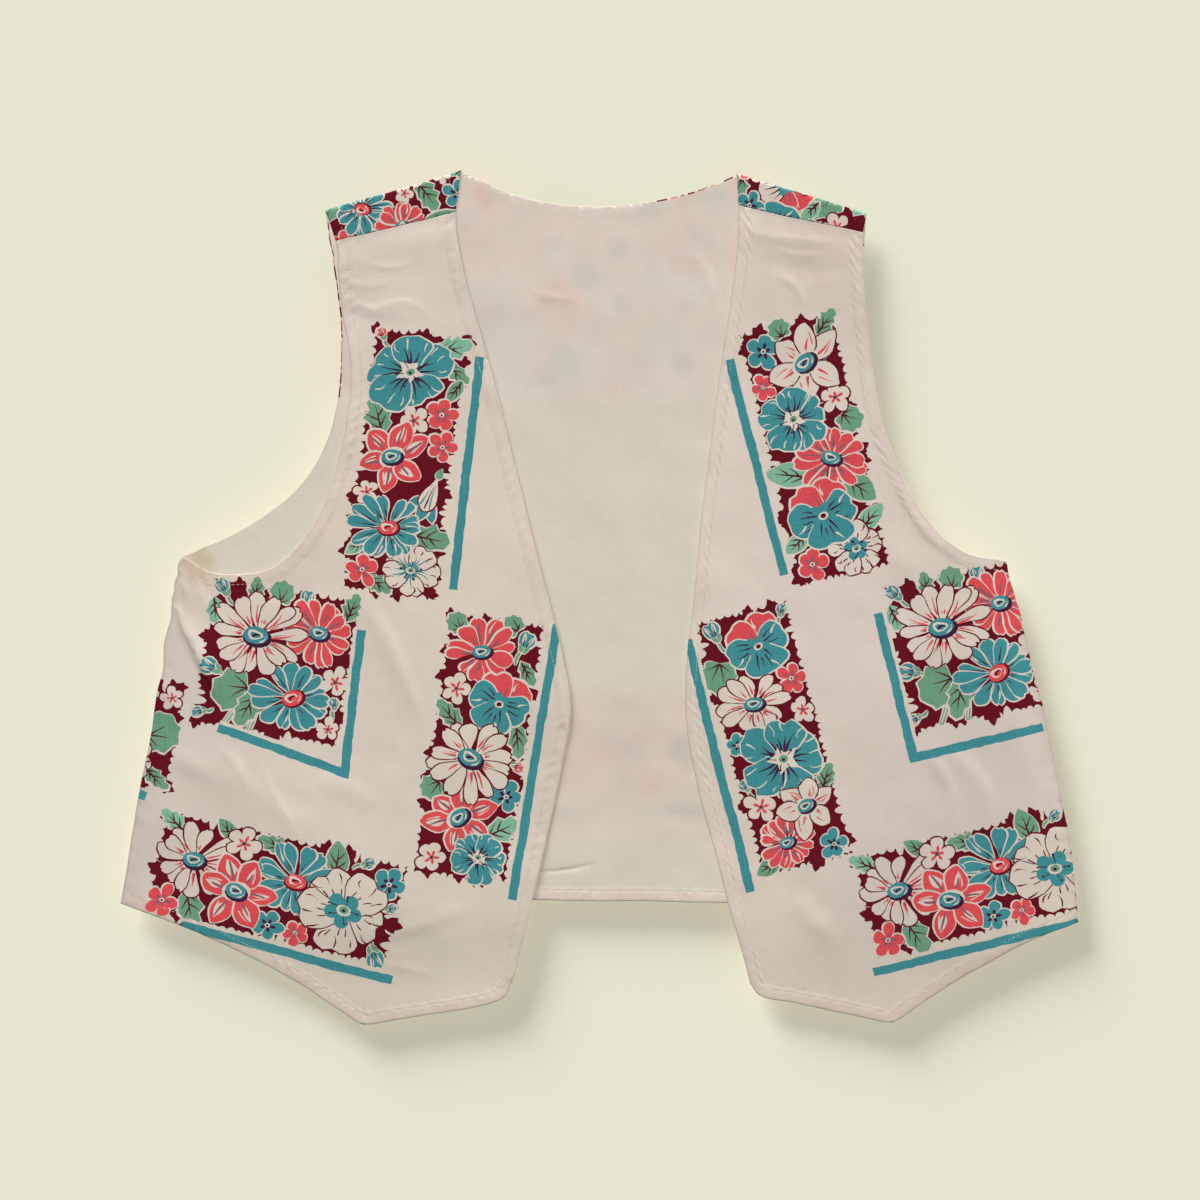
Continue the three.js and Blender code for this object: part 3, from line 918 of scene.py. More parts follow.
WAIST_RIGHT = Design(54, 151, each(
    Motif,
    (BUD, 17, 60, 11, CREAM, 70), (DAISY, -6, 56, 19.5, CORAL), (FLORET, -18, 33, 9),
    (PANSY, 8, 27, 19.5, TEAL, -20), (FLORET, 20, -25, 9.5, TEAL),
    (CLEMATIS, -5, -41, 20.5, CORAL, 10), (DAISY, -4, -6, 24.5), (PETUNIA, 9, -63, 15.5, TEAL),
    (FLORET, -18, -66, 9),
), 37)

WAIST_LEFT = Design(54, 152, each(
    Motif,
    (BUD, -17, 64, 11, CREAM, 110), (PANSY, 5, 54, 20, TEAL, 14), (FLORET, 19, 31, 9, CORAL),
    (DAISY, -6, 22, 20), (FLORET, -18, -37, 9.5), (PETUNIA, 2, -13, 23.5, TEAL),
    (FLORET, 18, -68, 8.5, TEAL), (DAISY, -8, -61, 16, CORAL), (CLEMATIS, 8, -43, 18),
), 41)

SQUARE = Design(85, 85, each(
    Motif,
    (STEM, -16, -20, 24, GREEN, 248), (STEM, -6, -18, 25, GREEN, 262),
    (BUD, -33, -10, 11, CREAM, 165), (FLORET, 36, -6, 9), (BUD, 12, 35, 9, CREAM, 85),
    (FAN_LEAF, -12, -16, 24, GREEN, 205), (LEAF, -8, -18, 24, GREEN, 250),
    (DAISY, 22, 20, 19.5, CORAL), (DAISY, 13, -19, 22, TEAL), (DAISY, -14, 13, 26),
), 54)

WIDE = Design(142, 59, each(
    Motif,
    (FLORET, -63, -21, 9.5, CORAL), (DAISY, -50, 5, 22.5), (FLORET, -24, 21, 9.5),
    (FLORET, 0, -22, 9.5, TEAL), (DAISY, 10, 6, 21.5, TEAL), (CLEMATIS, -22, -7, 21, CORAL, 14),
    (FLORET, 63, 17, 10, TEAL), (BUD, 62, -22, 12, CREAM, 300), (PETUNIA, 41, -4, 24.5),
), 61)

CORNER = Design(58, 60, each(
    Motif,
    (FAN_LEAF, 10, -2, 22, GREEN, 20), (PETUNIA, 3, -16, 14), (DAISY, -8, 12, 17, CORAL),
), 87)


@dataclass(frozen=True)
class Block:
    """A design at its place on a panel, turned by tilt degrees."""

    design: Design
    x: float
    y: float
    tilt: float

    def patches(self) -> list[Patch]:
        """The block's patches where they are printed."""
        spot = Spot(self.x, self.y, self.tilt)
        return [Patch(spot.place(p.points), p.dye) for p in self.design.patches()]


# ---- panels of cloth


@dataclass
class Face:
    """One face of a panel: points on the flat cut, triangles and each one's colour."""

    points: Points
    triangles: np.ndarray
    dyes: list[Dye]


# Small ones are stains on the cloth; broad ones are painted light and shade, soft lighter and
# darker patches.
@dataclass(frozen=True)
class StainAndShade:
    """A soft round change of the cloth's colour: reach, and what it multiplies by."""

    x: float
    y: float
    reach: float
    tint: Triple


@dataclass
class ShowThrough:
    """How the print shows on the wrong side of the cloth: pale, blurred and uneven."""

    face: Face
    strength: float = 0.17
    cell: float = 2.5
    half: float = 320.0

    def __post_init__(self) -> None:
        """Gather the colour printed on each small square of cloth, and blur it."""
        corners = self.face.points[self.face.triangles]
        a, b, c = corners.transpose(1, 0, 2)
        area = np.abs(np.cross(b - a, c - a)) / 2
        size = int(2 * self.half / self.cell)
        place = (corners.mean(axis=1) + self.half) / self.cell
        i, j = place.astype(int).clip(0, size - 1).T
        weights = {CREAM: 0.0, MAROON: 0.25, PLUM: 0.25, BROWN: 0.25,
                   GREEN: 0.45, MINT: 0.45, TEAL: 1.35}
        codes = {d: np.array((*d.linear, 1.0)) * weights.get(d, 1.0) for d in Dye}
        dyes = np.array([codes[d] for d in self.face.dyes])
        grid = np.zeros((size, size, 4))
        np.add.at(grid, (i, j), dyes * area[:, None])
        grid /= self.cell**2
        for _ in range(2):
            for axis in (0, 1):
                grid = (np.roll(grid, 1, axis) + 2 * grid + np.roll(grid, -1, axis)) / 4
        self.grid = grid.clip(0, 1)

    def tint(self, xy: Points, cloth: Points) -> Points:
        """The cloth's colours with the print showing through them."""
        place = ((xy + self.half) / self.cell - 0.5).clip(0, len(self.grid) - 2)
        low = place.astype(int)
        u, v = (place - low).T[:, :, None]
        i, j = low.T
        ink = (self.grid[i, j] * (1 - u) * (1 - v) + self.grid[i + 1, j] * u * (1 - v)
               + self.grid[i, j + 1] * (1 - u) * v + self.grid[i + 1, j + 1] * u * v)
        patchy = self.strength * (0.7 + Swell(31.0, 0.75, 61).at(xy)).clip(0.2, 1.3)[:, None]
        tinted = (Swell(15.0, 0.02, 62).at(xy) + Swell(6.0, 0.01, 63).at(xy)) * smooth(
            (xy[:, 1] - 110.0) / 7.0)
        blotch = 1.0 + tinted[:, None] * np.array((1.0, -0.6, -1.0))
        return cloth * blotch * (1 - patchy * ink[:, 3:]) + patchy * ink[:, :3]


@dataclass(frozen=True)
class Survey:
    """How points of the flat cut lie to its edges, in millimetres.

    hem and seam are the distances to the nearest hemmed and sewn edge, along and
    seam_along how far along that edge a point is, show how much that hem stands out,
    and gaps has each edge's distance.
    """

    hem: np.ndarray
    along: np.ndarray
    show: np.ndarray
    seam: np.ndarray
    seam_along: np.ndarray
    gaps: dict[str, np.ndarray]

    @property
    def edge(self) -> np.ndarray:
        """The distance to the nearest edge of any kind."""
        return np.minimum(self.hem, self.seam)


@dataclass
class Panel:
    """A cut piece of cloth: its edges in order, and how it lies.

    facing is 1 where its printed face is up and -1 where it is down.
    """

    node: str
    edges: dict[str, Points]
    hems: tuple[str, ...]
    facing: int
    printed_step: float
    plain_step: float
    rests_on: tuple[str, ...] = ()
    slant: float = 0.7  # of the ripples along its hems
    gather: float = 0.1  # their height
    faint: tuple[str, ...] = ()  # hems that hardly stand out
    # Small stains, and broad patches of painted light and shade.
    stains_and_shade: tuple[StainAndShade, ...] = ()
    turned: tuple[str, ...] = ("hem", "lower")  # hems whose colour differs, and by what
    turned_tint: Triple = (0.985, 0.945, 0.955)
    creases: tuple[Crease, ...] = ()
    blocks: tuple[Block, ...] = ()
    bars: tuple[tuple[Pair, ...], ...] = ()
    seed: int = 0

    def outline(self) -> Points:
        """The whole outline, anticlockwise."""
        loop = np.vstack([line[:-1] for line in self.edges.values()])
        return loop if area_of(loop) > 0 else loop[::-1]

    def samples(self, step: float) -> Points:
        """Points inside the outline: rows along the edges and a field of points."""
        loop = self.outline()
        rows = [inset(loop, by) for by in (HEM_ROWS if step < 4.8 else HEM_ROWS[::3])]
        low, high = loop.min(axis=0), loop.max(axis=0)
        lines = []
        for k, y in enumerate(np.arange(low[1], high[1], step * 0.88)):
            x = np.arange(low[0] + (k % 2) * step / 2, high[0], step)
            lines.append(np.column_stack((x, np.full(len(x), y))))
        spread = np.vstack(lines)
        spread = spread[inside(loop, spread)]
        spread = spread[nearest(np.vstack((loop, loop[:1])), spread)[0] > HEM_ROWS[-1] + 1.5]
        return np.vstack((*rows, spread, *self.extra_samples()))

    def extra_samples(self) -> list[Points]:
        """Rows of points that a panel needs besides, for a fold."""
        return []

    def cut(self, loop: Points, samples: Points, patches: Sequence[Patch]) -> tuple[Face, list]:
        """Divide the cloth inside a loop into triangles along the print's outlines.

        Args:
            loop: The closed outline.
            samples: Points that the triangles also use.
            patches: The print, the lowest first.

        Returns:
            The face, and for each of its points the input points that it came from.
        """
        shapes = [loop, *(p.points for p in patches)]
        starts = np.concatenate(([0], np.cumsum([len(shape) for shape in shapes])))
        given = np.vstack((*shapes, samples))
        sides = []
        for a, b in zip(starts[1:], starts[2:]):
            sides += [(k, k + 1) for k in range(a, b - 1)] + [(b - 1, a)]
        points, _, triangles, origins, _, covers = delaunay_2d_cdt(
            [Vector(p) for p in given], sides, [list(range(len(loop)))], 1, 0.004, True)
        flat = np.array([tuple(p) for p in points])
        kept = np.array([t for t, c in zip(triangles, covers) if 0 in c and len(t) == 3])
        return Face(flat, kept, self.colours(flat[kept].mean(axis=1), patches)), origins

    def colours(self, middles: Points, patches: Sequence[Patch]) -> list[Dye]:
        """The topmost patch's colour at each point."""
        order = middles[:, 0].argsort()
        sorted_x = middles[order, 0]
        found = np.full(len(middles), -1)
        for k, patch in enumerate(patches):
            low, high = patch.points.min(axis=0), patch.points.max(axis=0)
            near = order[slice(*np.searchsorted(sorted_x, (low[0], high[0])))]
            near = near[(middles[near, 1] > low[1]) & (middles[near, 1] < high[1])]
            found[near[inside(patch.points, middles[near])]] = k
        return [patches[k].dye if k >= 0 else CREAM for k in found]

    def rim(self, face: Face) -> np.ndarray:
        """The points round a face's outside, in order."""
        tri = face.triangles
        ends = np.vstack((tri[:, [0, 1]], tri[:, [1, 2]], tri[:, [2, 0]]))
        used = {(int(a), int(b)) for a, b in ends}
        after = {a: b for a, b in used if (b, a) not in used}
        first = next(iter(after))
        found = [first]
        while after[found[-1]] != first:
            found.append(after[found[-1]])
        return np.array(found)

    def shape(self, xy: Points, side: int, at: Survey, lift: float = 0.0) -> Points:
        """Where points of the flat cut lie, in space.

        Args:
            xy: The points.
            side: 1 for the printed face and -1 for the plain one.
            at: The points' survey.
            lift: Distance off the cloth.

        Returns:
            The points in space, in millimetres.
        """
        raise NotImplementedError

    def survey(self, xy: Points) -> Survey:
        """Measure points against every edge, once."""
        hem, seam = np.full(len(xy), 1e9), np.full(len(xy), 1e9)
        along, seam_along = np.zeros(len(xy)), np.zeros(len(xy))
        show = np.ones(len(xy))
        gaps = {}
        for count, (name, line) in enumerate(self.edges.items()):
            gap, at, _ = nearest(line, xy)
            gaps[name] = gap
            if name in self.hems:
                along = np.where(gap < hem, at + 1000.0 * count, along)
                show = np.where(gap < hem, 0.15 if name in self.faint else 1.0, show)
                hem = np.minimum(gap, hem)
            else:
                seam_along = np.where(gap < seam, at, seam_along)
                seam = np.minimum(gap, seam)
        return Survey(hem, along, show, seam, seam_along, gaps)

    def thickness(self, at: Survey, side: int) -> np.ndarray:
        """From the middle of the cloth to a face, rounded over at the edges."""
        band = smooth((HEM_WIDTH + 0.4 - at.hem) / 0.9) * smooth(at.seam / SEAM_FADE) * at.show
        stitched = np.exp(-(((at.hem - STITCH_INSET) / 0.55) ** 2)) * smooth(at.seam / 8)
        gather = 0.5 + 0.5 * np.sin(at.along * math.tau / 2.7)
        turned = HEM_EXTRA * (0.55 if side * self.facing > 0 else 0.45) * band
        half = CLOTH / 2 + turned - 0.14 * stitched * (0.5 + 0.5 * gather) * at.show
        over = np.clip(at.edge / EDGE_ROUND, 0.0, 1.0)
        return half * np.sqrt(1.0 - (1.0 - over) ** 2)

    def puckers(self, xy: Points, at: Survey) -> np.ndarray:
        """Small ripples that stitching draws up along the hems and seams."""
        strength = 0.6 + Swell(28.0, 0.6, 5).at(xy)
        phase = math.tau * (at.along + self.slant * at.hem) / 6.9 + 3 * Swell(19.0, 1.0, 6).at(xy)
        rope = np.sin(phase) + 0.35 * np.sin(2 * phase + 1.0)
        near = np.exp(-(((at.hem - STITCH_INSET) / 3.2) ** 2))
        hemmed = self.gather * rope * (near + 0.35 * np.exp(-(((at.hem - 2.0) / 6.5) ** 2)))
        hemmed += Swell(3.6, 0.09, 10).at(xy) * np.exp(-((at.hem / 6.5) ** 4))
        bunched = np.sin(math.tau * at.seam_along / 10.5 + 4 * Swell(17.0, 1.0, 8).at(xy))
        drawn = (0.07 * Swell(5.0, 1.0, 7).at(xy) + 0.12 * bunched * Swell(30.0, 1.0, 9).at(xy))
        return strength * hemmed * at.show + drawn * np.exp(-((at.seam / 9.0) ** 2))

    def tone(self, xy: Points, side: int) -> Points:
        """The cloth's colour at each point, linear."""
        raise NotImplementedError

    def tinted(self, cloth: Points, xy: Points, at: Survey) -> Points:
        """The cloth's colour with its stains, its turned hems and painted shade along its edges."""
        # Small stains are real marks; the broad ones paint soft light and shade onto the cloth.
        for stain_and_shade in self.stains_and_shade:
            gap = np.hypot(xy[:, 0] - stain_and_shade.x, xy[:, 1] - stain_and_shade.y) / stain_and_shade.reach
            amount = np.exp(-(gap**2) * (1.0 + 0.4 * Swell(5.0, 1.0, 77).at(xy)))[:, None]
            cloth = cloth * (1.0 + (np.array(stain_and_shade.tint) - 1.0) * amount)
        hem = np.min([at.gaps[name] for name in self.turned], axis=0)
        calm = smooth(at.seam / 10)
        band = smooth((HEM_WIDTH - hem) / 0.8) * calm
        # Mask of a painted shade line along the inner edge of each hem, where the turned band steps
        # down.
        line = np.exp(-(((at.hem - HEM_WIDTH + 0.4) / 0.75) ** 2)) * calm * at.show
        sides = [gap for name, gap in at.gaps.items() if name.endswith("side")]
        # dark is painted shade: near the side seams, along the hems' inner edges, close to the
        # turned hems' edges and the seams, and at every edge.
        dark = 0.055 * np.exp(-((np.min(sides, axis=0) / 8.0) ** 2))
        dark += line * (0.05 + Swell(6.0, 0.04, 43).at(xy))
        dark += 0.05 * np.exp(-((hem / 2.2) ** 2)) + 0.08 * np.exp(-((at.seam / 1.1) ** 2))
        dark += 0.15 * np.exp(-((at.edge / 0.6) ** 2))
        fresh = 1.0 + band[:, None] * (np.array(self.turned_tint) - 1.0)
        hemmed = smooth((HEM_WIDTH + 1.0 - at.hem) / 2.0) * at.show
        mottle = Swell(9.0, 0.012, 44).at(xy) + Swell(4.0, 0.01, 45).at(xy)
        pink = (Swell(3.0, 0.04, 46).at(xy) + Swell(7.0, 0.03, 47).at(xy)) * hemmed
        flush = pink[:, None] * np.array((0.25, 1.0, 0.8))
        return cloth * (fresh + flush) * (1.0 - dark + mottle)[:, None]

    def print_patches(self) -> list[Patch]:
        """The blocks on the panel's printed face."""
        return [patch for block in self.blocks for patch in block.patches()]

    def plain_patches(self) -> list[Patch]:
        """What shows of the print on the plain face, along its edges."""
        return []

    def build(self, finish: "PrintedCotton") -> Object:
        """Make the panel's mesh and dress it.

        Args:
            finish: The cloth's finish.

        Returns:
            The panel's object.
        """
        printed, _ = self.cut(self.outline(), self.samples(self.printed_step), self.print_patches())
        rim = self.rim(printed)
        plain, origins = self.cut(printed.points[rim], self.samples(self.plain_step),
                                  self.plain_patches())
        number = np.full(len(plain.points), -1)
        for k, sources in enumerate(origins):
            on_rim = [s for s in sources if s < len(rim)]
            if on_rim:
                number[k] = rim[on_rim[0]]
        fresh = number < 0
        number[fresh] = len(printed.points) + np.arange(fresh.sum())
        hidden = plain.points[fresh]
        placed, cloth = [], []
        for xy, side in ((printed.points, 1), (hidden, -1)):
            at = self.survey(xy)
            placed.append(self.shape(xy, side, at))
            cloth.append(self.tinted(self.tone(xy, side), xy, at))
        cloth[1] = ShowThrough(printed).tint(hidden, cloth[1])
        outer = printed.triangles[:, ::self.facing]
        inner = number[plain.triangles][:, ::-self.facing]
        flat = np.vstack((printed.points, hidden))
        return cloth_object(
            self.node + "_cloth", np.vstack(placed), np.vstack((outer, inner)),
            printed.dyes + plain.dyes, np.vstack(cloth), flat, self.layout(flat, outer, inner),
            finish)

    def layout(self, flat: Points, outer: np.ndarray, inner: np.ndarray) -> Points:
        """Map coordinates with both faces as they are cut, side by side or one above."""
        low = flat.min(axis=0)
        wide, tall = flat.max(axis=0) - low + 6.0
        beside = max(2 * wide, tall) < max(wide, 2 * tall)
        scale = 1.0 / min(max(2 * wide, tall), max(wide, 2 * tall))
        places = (flat - low + 3.0) * scale
        away = np.array((wide, 0.0) if beside else (0.0, tall)) * scale
        return np.vstack((places[outer.ravel()], places[inner.ravel()] + away))

    def stitch_rows(self) -> list[Points]:
        """The rows of stitches, in space."""
        rows = []
        sign = np.sign(area_of(np.vstack([line[:-1] for line in self.edges.values()])))
        for name in self.hems:
            line = self.edges[name]
            row = line + sign * STITCH_INSET * left_of(np.gradient(line, axis=0))
            row = even(row[3:-3], STITCH_STEP)
            rows += [self.shape(row, side, self.survey(row), -0.02) for side in (1, -1)]
        return rows


def cloth_object(name: str, points: Points, triangles: np.ndarray, dyes: Sequence[Dye],
                 cloth: Points, threads: Points, layout: Points, finish: "PrintedCotton"
                 ) -> Object:
    """A cloth mesh with its print, colour and thread directions written on it.

    Args:
        name: Of the piece.
        points: In millimetres.
        triangles: Three points each, anticlockwise from outside.
        dyes: Each triangle's colour.
        cloth: Each point's bare cloth colour, linear.
        threads: Each point's place on the flat cut, in millimetres.
        layout: Map coordinates of each triangle's corners.
        finish: The cloth's finish.

    Returns:
        The object, at the origin.
    """
    corners = points[triangles]
    across = np.cross(corners[:, 1] - corners[:, 0], corners[:, 2] - corners[:, 0])
    kept = np.hypot(np.hypot(across[:, 0], across[:, 1]), across[:, 2]) > 1e-9
    triangles, across = triangles[kept], across[kept]
    layout = layout[np.repeat(kept, 3)]
    dyes = [dye for dye, keep in zip(dyes, kept) if keep]
    used, numbers = np.unique(triangles, return_inverse=True)
    points, cloth, threads = points[used], cloth[used], threads[used]
    triangles = numbers.reshape(-1, 3)
    normals = np.zeros_like(points)
    for k in range(3):
        np.add.at(normals, triangles[:, k], across)
    normals /= np.maximum(np.linalg.norm(normals, axis=1), 1e-12)[:, None]
    mesh = bpy.data.meshes.new(name)
    mesh.vertices.add(len(points))
    mesh.vertices.foreach_set("co", (points * MM).ravel())
    mesh.loops.add(3 * len(triangles))
    mesh.loops.foreach_set("vertex_index", triangles.ravel().astype(np.int32))
    mesh.polygons.add(len(triangles))
    mesh.polygons.foreach_set("loop_start", np.arange(0, 3 * len(triangles), 3, dtype=np.int32))
    mesh.update(calc_edges=True)
    mesh.shade_smooth()
    mesh.uv_layers.new(name=MAP_NAME).data.foreach_set("uv", layout.astype(np.float32).ravel())
    codes = {dye: (*dye.linear, 0.0 if dye is CREAM else 1.0) for dye in Dye}
    inks = np.repeat(np.array([codes[dye] for dye in dyes], np.float32), 3, axis=0)
    mesh.color_attributes.new("print", "FLOAT_COLOR", "CORNER").data.foreach_set(
        "color", inks.ravel())
    tones = np.column_stack((cloth, np.ones(len(cloth)))).astype(np.float32)
    mesh.color_attributes.new("cloth", "FLOAT_COLOR", "POINT").data.foreach_set(
        "color", tones.ravel())
    flat = np.column_stack((threads, np.zeros(len(threads)))).astype(np.float32)
    mesh.attributes.new("threads", "FLOAT_VECTOR", "POINT").data.foreach_set("vector", flat.ravel())
    mesh.normals_split_custom_set_from_vertices([tuple(n) for n in normals])
    mesh.materials.append(finish.material())
    return show(name, mesh)


@dataclass
class Front(Panel):
    """One front: it lies over the back, and its lower point on the surface."""

    hems: tuple[str, ...] = ("armhole", "hem", "lower", "open")
    facing: int = 1
    printed_step: float = 3.1
    plain_step: float = 5.5
    rests_on: tuple[str, ...] = ("back",)
    back_hem: Points = field(
        default_factory=lambda: edge_line(RIGHT.back_corner, BACK_HEM, LEFT.back_corner))
    tabs: tuple[Tab, ...] = ()

    def extra_samples(self) -> list[Points]:
        """Rows of points round the tabs and along the narrow creases."""
        rows = [tab.loop(by) for tab in self.tabs for by in (-0.15, 0.8)]
        loop = self.outline()
        for crease in self.creases:
            rows += [row[inside(inset(loop, 1.0), row)] for row in crease.samples()]
        return rows

    def stitch_rows(self) -> list[Points]:
        """The rows of stitches, in space, with those round the tabs."""
        rows = [even(tab.loop(0.9), STITCH_STEP) for tab in self.tabs]
        return super().stitch_rows() + [self.shape(row, 1, self.survey(row), -0.02) for row in rows]

    def middle(self, xy: Points, at: Survey) -> np.ndarray:
        """The height of the middle of the cloth."""
        side, shoulder, edge = (at.gaps[name] for name in ("side", "shoulder", "open"))
        free = smooth(side / SEAM_RUN) * smooth(shoulder / SHOULDER_RUN)
        lift = sum(crease.at(xy) for crease in self.creases)
        soft = (Swell(52.0, 0.4, self.seed).at(xy) + Swell(23.0, 0.2, self.seed + 1).at(xy)
                + Swell(10.5, 0.05, self.seed + 2).at(xy) + rumple(xy, 0.2, self.seed + 40))
        wave = Swell(46.0, 0.5, self.seed + 3).at(np.column_stack((at.along, 0 * side)))
        laid = SIDE_SEAT + smooth(side / SEAM_RUN) * (OPEN_SEAT - SIDE_SEAT)
        laid = SHOULDER_SEAT + smooth(shoulder / SHOULDER_RUN) * (laid - SHOULDER_SEAT)
        hem_y = np.interp(xy[:, 0], *self.back_hem[np.argsort(self.back_hem[:, 0])].T)
        down = smooth((hem_y - DROP_START - xy[:, 1]) / DROP_RUN)
        level = laid * (1 - down) + POINT_SEAT * down
        bumps = free * (soft + wave * np.exp(-edge / 22.0)) * (1.0 - 0.35 * down)
        bumps += lift * smooth(side / 6.0) * smooth(shoulder / 4.0)
        bumps += 0.05 * sum(tab.cover(xy) for tab in self.tabs)
        lowest = CLOTH / 2 + HEM_EXTRA * 0.45 + 0.02
        return np.maximum(level + bumps + self.puckers(xy, at), lowest)

    def shape(self, xy: Points, side: int, at: Survey, lift: float = 0.0) -> Points:
        """Where points of the cut lie: see Panel.shape."""
        off = self.thickness(at, side) + lift
        return np.column_stack((settle(xy), self.middle(xy, at) + side * off))

    def tone(self, xy: Points, side: int) -> Points:
        """The cloth's colour at each point, linear: a little darker towards the bottom, and softly
        uneven.
        """
        high, low = np.array(linear((213, 199, 186))), np.array(linear((208, 196, 180)))
        share = smooth((xy[:, 1] + 240.0) / 440.0)[:, None]
        cloth = low + (high - low) * share
        return cloth * (1.0 + Swell(40.0, 0.018, self.seed + 8).at(xy))[:, None]

    def print_patches(self) -> list[Patch]:
        """The blocks and bars on this front."""
        found = super().print_patches()
        for width, seed, dye in ((BAR_WIDTH + BAR_HALO, 350, CREAM), (BAR_WIDTH, 300, TEAL)):
            found += [bar(points, width, seed + self.seed + k, dye)
                      for k, points in enumerate(self.bars)]
        return found


@dataclass
class Shoulder:
    """The line where the back folds over one shoulder, and the strip beyond it."""

    fold_neck: Pair
    fold_arm: Pair

    def __post_init__(self) -> None:
        """Work out the fold's direction and the way out from the body."""
        a, b = np.array(self.fold_neck), np.array(self.fold_arm)
        self.start = a
        self.along = (b - a) / math.dist(a, b)
        out = np.array((-self.along[1], self.along[0]))
        self.out = out if out[1] > 0 else -out

    def unfolded(self, point: Pair) -> Pair:
        """Where a point of the strip, as it lies, is on the flat cut."""
        off = np.array(point) - self.start
        beyond = -float(off @ self.out) + math.pi * FOLD_RADIUS
        return tuple(self.start + self.along * float(off @ self.along) + self.out * beyond)

    def beyond(self, xy: Points) -> np.ndarray:
        """How far past the fold each point of the flat cut is."""
        return (xy - self.start) @ self.out

    def rows(self) -> list[Points]:
        """Points close together round the fold."""
        a, b = np.array(self.fold_neck), np.array(self.fold_arm)
        t = np.linspace(-0.02, 1.02, 34)[:, None]
        return [a + (b - a) * t + self.out * by for by in np.arange(-0.8, 3.4, 0.35)]


@dataclass
class Back(Panel):
    """The back: flat on the surface, printed side down, its shoulders folded over."""

    hems: tuple[str, ...] = ("neck", "left_strap_neck", "left_strap_arm", "left_armhole", "hem",
                             "right_armhole", "right_strap_arm", "right_strap_neck")
    facing: int = -1
    printed_step: float = 5.0
    plain_step: float = 4.0
    faint: tuple[str, ...] = tuple(name for name in hems if name != "hem")
    turned: tuple[str, ...] = ("hem",)
    turned_tint: Triple = (1.085, 1.01, 1.035)
    shoulders: tuple[Shoulder, ...] = ()
    seed: int = 90

    def extra_samples(self) -> list[Points]:
        """Rows of points round the shoulder folds and along the narrow creases."""
        return [row for shoulder in self.shoulders for row in shoulder.rows()] + [
            row for crease in self.creases for row in crease.samples()]

    def shape(self, xy: Points, side: int, at: Survey, lift: float = 0.0) -> Points:
        """Where points of the cut lie: see Panel.shape."""
        soft = (0.3 + Swell(48.0, 0.22, self.seed).at(xy) + Swell(19.0, 0.12, self.seed + 1).at(xy)
                + Swell(9.0, 0.04, self.seed + 2).at(xy) + rumple(xy, 0.2, self.seed + 40))
        lift_up = sum(crease.at(xy) for crease in self.creases)
        level = np.maximum((soft + lift_up) * smooth(at.seam / 16) + self.puckers(xy, at), 0.0)
        off = side * (self.thickness(at, side) + lift)
        height = CLOTH / 2 + HEM_EXTRA * 0.45 + level
        placed = np.column_stack((xy, height - off))
        for shoulder in self.shoulders:
            past = shoulder.beyond(xy)
            near = (past > 0) & (np.sign(xy[:, 0]) == np.sign(shoulder.fold_neck[0]))
            turn = np.clip(past / FOLD_RADIUS, 0.0, math.pi)
            rest = np.maximum(past - math.pi * FOLD_RADIUS, 0.0)
            calm = 1.0 - 0.5 * turn / math.pi
            out = np.sin(turn) * (FOLD_RADIUS + off) - rest - past
            up = height * calm + FOLD_RADIUS - np.cos(turn) * (FOLD_RADIUS + off)
            moved = np.column_stack((xy + out[:, None] * shoulder.out, up))
            placed = np.where(near[:, None], moved, placed)
        return np.column_stack((settle(placed[:, :2]), placed[:, 2]))

    def tone(self, xy: Points, side: int) -> Points:
        """The cloth's colour at each point, linear: even on the printed face, in bands from the hem
        to the neck on the plain face.
        """
        if side > 0:
            base = np.array(linear((212, 198, 184)))
            return base * (1.0 + Swell(40.0, 0.018, self.seed + 8).at(xy))[:, None]
        heights = (-180.0, -150.0, -120.0, -95.0, -60.0, -50.0, 60.0, 112.5, 117.0, 190.0, 225.0)
        bands = ((209, 200, 183), (210, 201, 184), (212, 199, 184), (213, 196, 182),
                 (213, 198, 183), (213, 205, 188), (213, 205, 188), (210, 201, 184),
                 (213, 203, 190), (216, 203, 190), (217, 202, 189))
        shades = np.array([linear(b) for b in bands])
        cloth = np.column_stack([np.interp(xy[:, 1], heights, shades[:, k]) for k in range(3)])
        return cloth * (1.0 + Swell(36.0, 0.016, self.seed + 9).at(xy))[:, None]

    def print_patches(self) -> list[Patch]:
        """The border across the shoulders, and the blocks and bars below it.

        Outlines are simpler where the cloth is laid down than on the shoulder strips.
        """
        drawn = [Patch(p.points + (0.0, 197.0), p.dye) for p in border(334.0, 158.0, 71)]
        found = []
        for patch in drawn + super().print_patches():
            if patch.points[:, 1].mean() > 212.0:
                found.append(patch)
            elif abs(area_of(patch.points)) > 4.0:
                count = len(patch.points)
                found.append(Patch(patch.points[::1 + (count > 6) + (count > 19)], patch.dye))
        return found + [bar(points, BAR_WIDTH, 400 + k) for k, points in enumerate(self.bars)]

    def plain_patches(self) -> list[Patch]:
        """Bits of the print that come over the neck's and the right armhole's edges."""
        rng = np.random.default_rng(9)
        found = []
        dyes = (MAROON, MAROON, CORAL, MAROON, TEAL)
        for name in ("neck", "right_armhole"):
            line = self.edges[name]
            seen = line[:, 0] > -8.0 if name == "neck" else line[:, 1] > 112.0
            inward = -left_of(np.gradient(line, axis=0))
            k = 1
            while k < len(line) - 3:
                count = int(rng.integers(1, 4))
                if seen[k] and rng.uniform() < 0.62:
                    deep = rng.uniform(0.4, 1.0)
                    edge = line[k:k + count + 1]
                    back = edge + inward[k:k + count + 1] * deep
                    outer = edge - inward[k:k + count + 1] * 0.5
                    found.append(Patch(np.vstack((outer, back[::-1])),
                                       dyes[int(rng.integers(len(dyes)))]))
                k += count + int(rng.integers(0, 2))
        return found


# ---- finishes

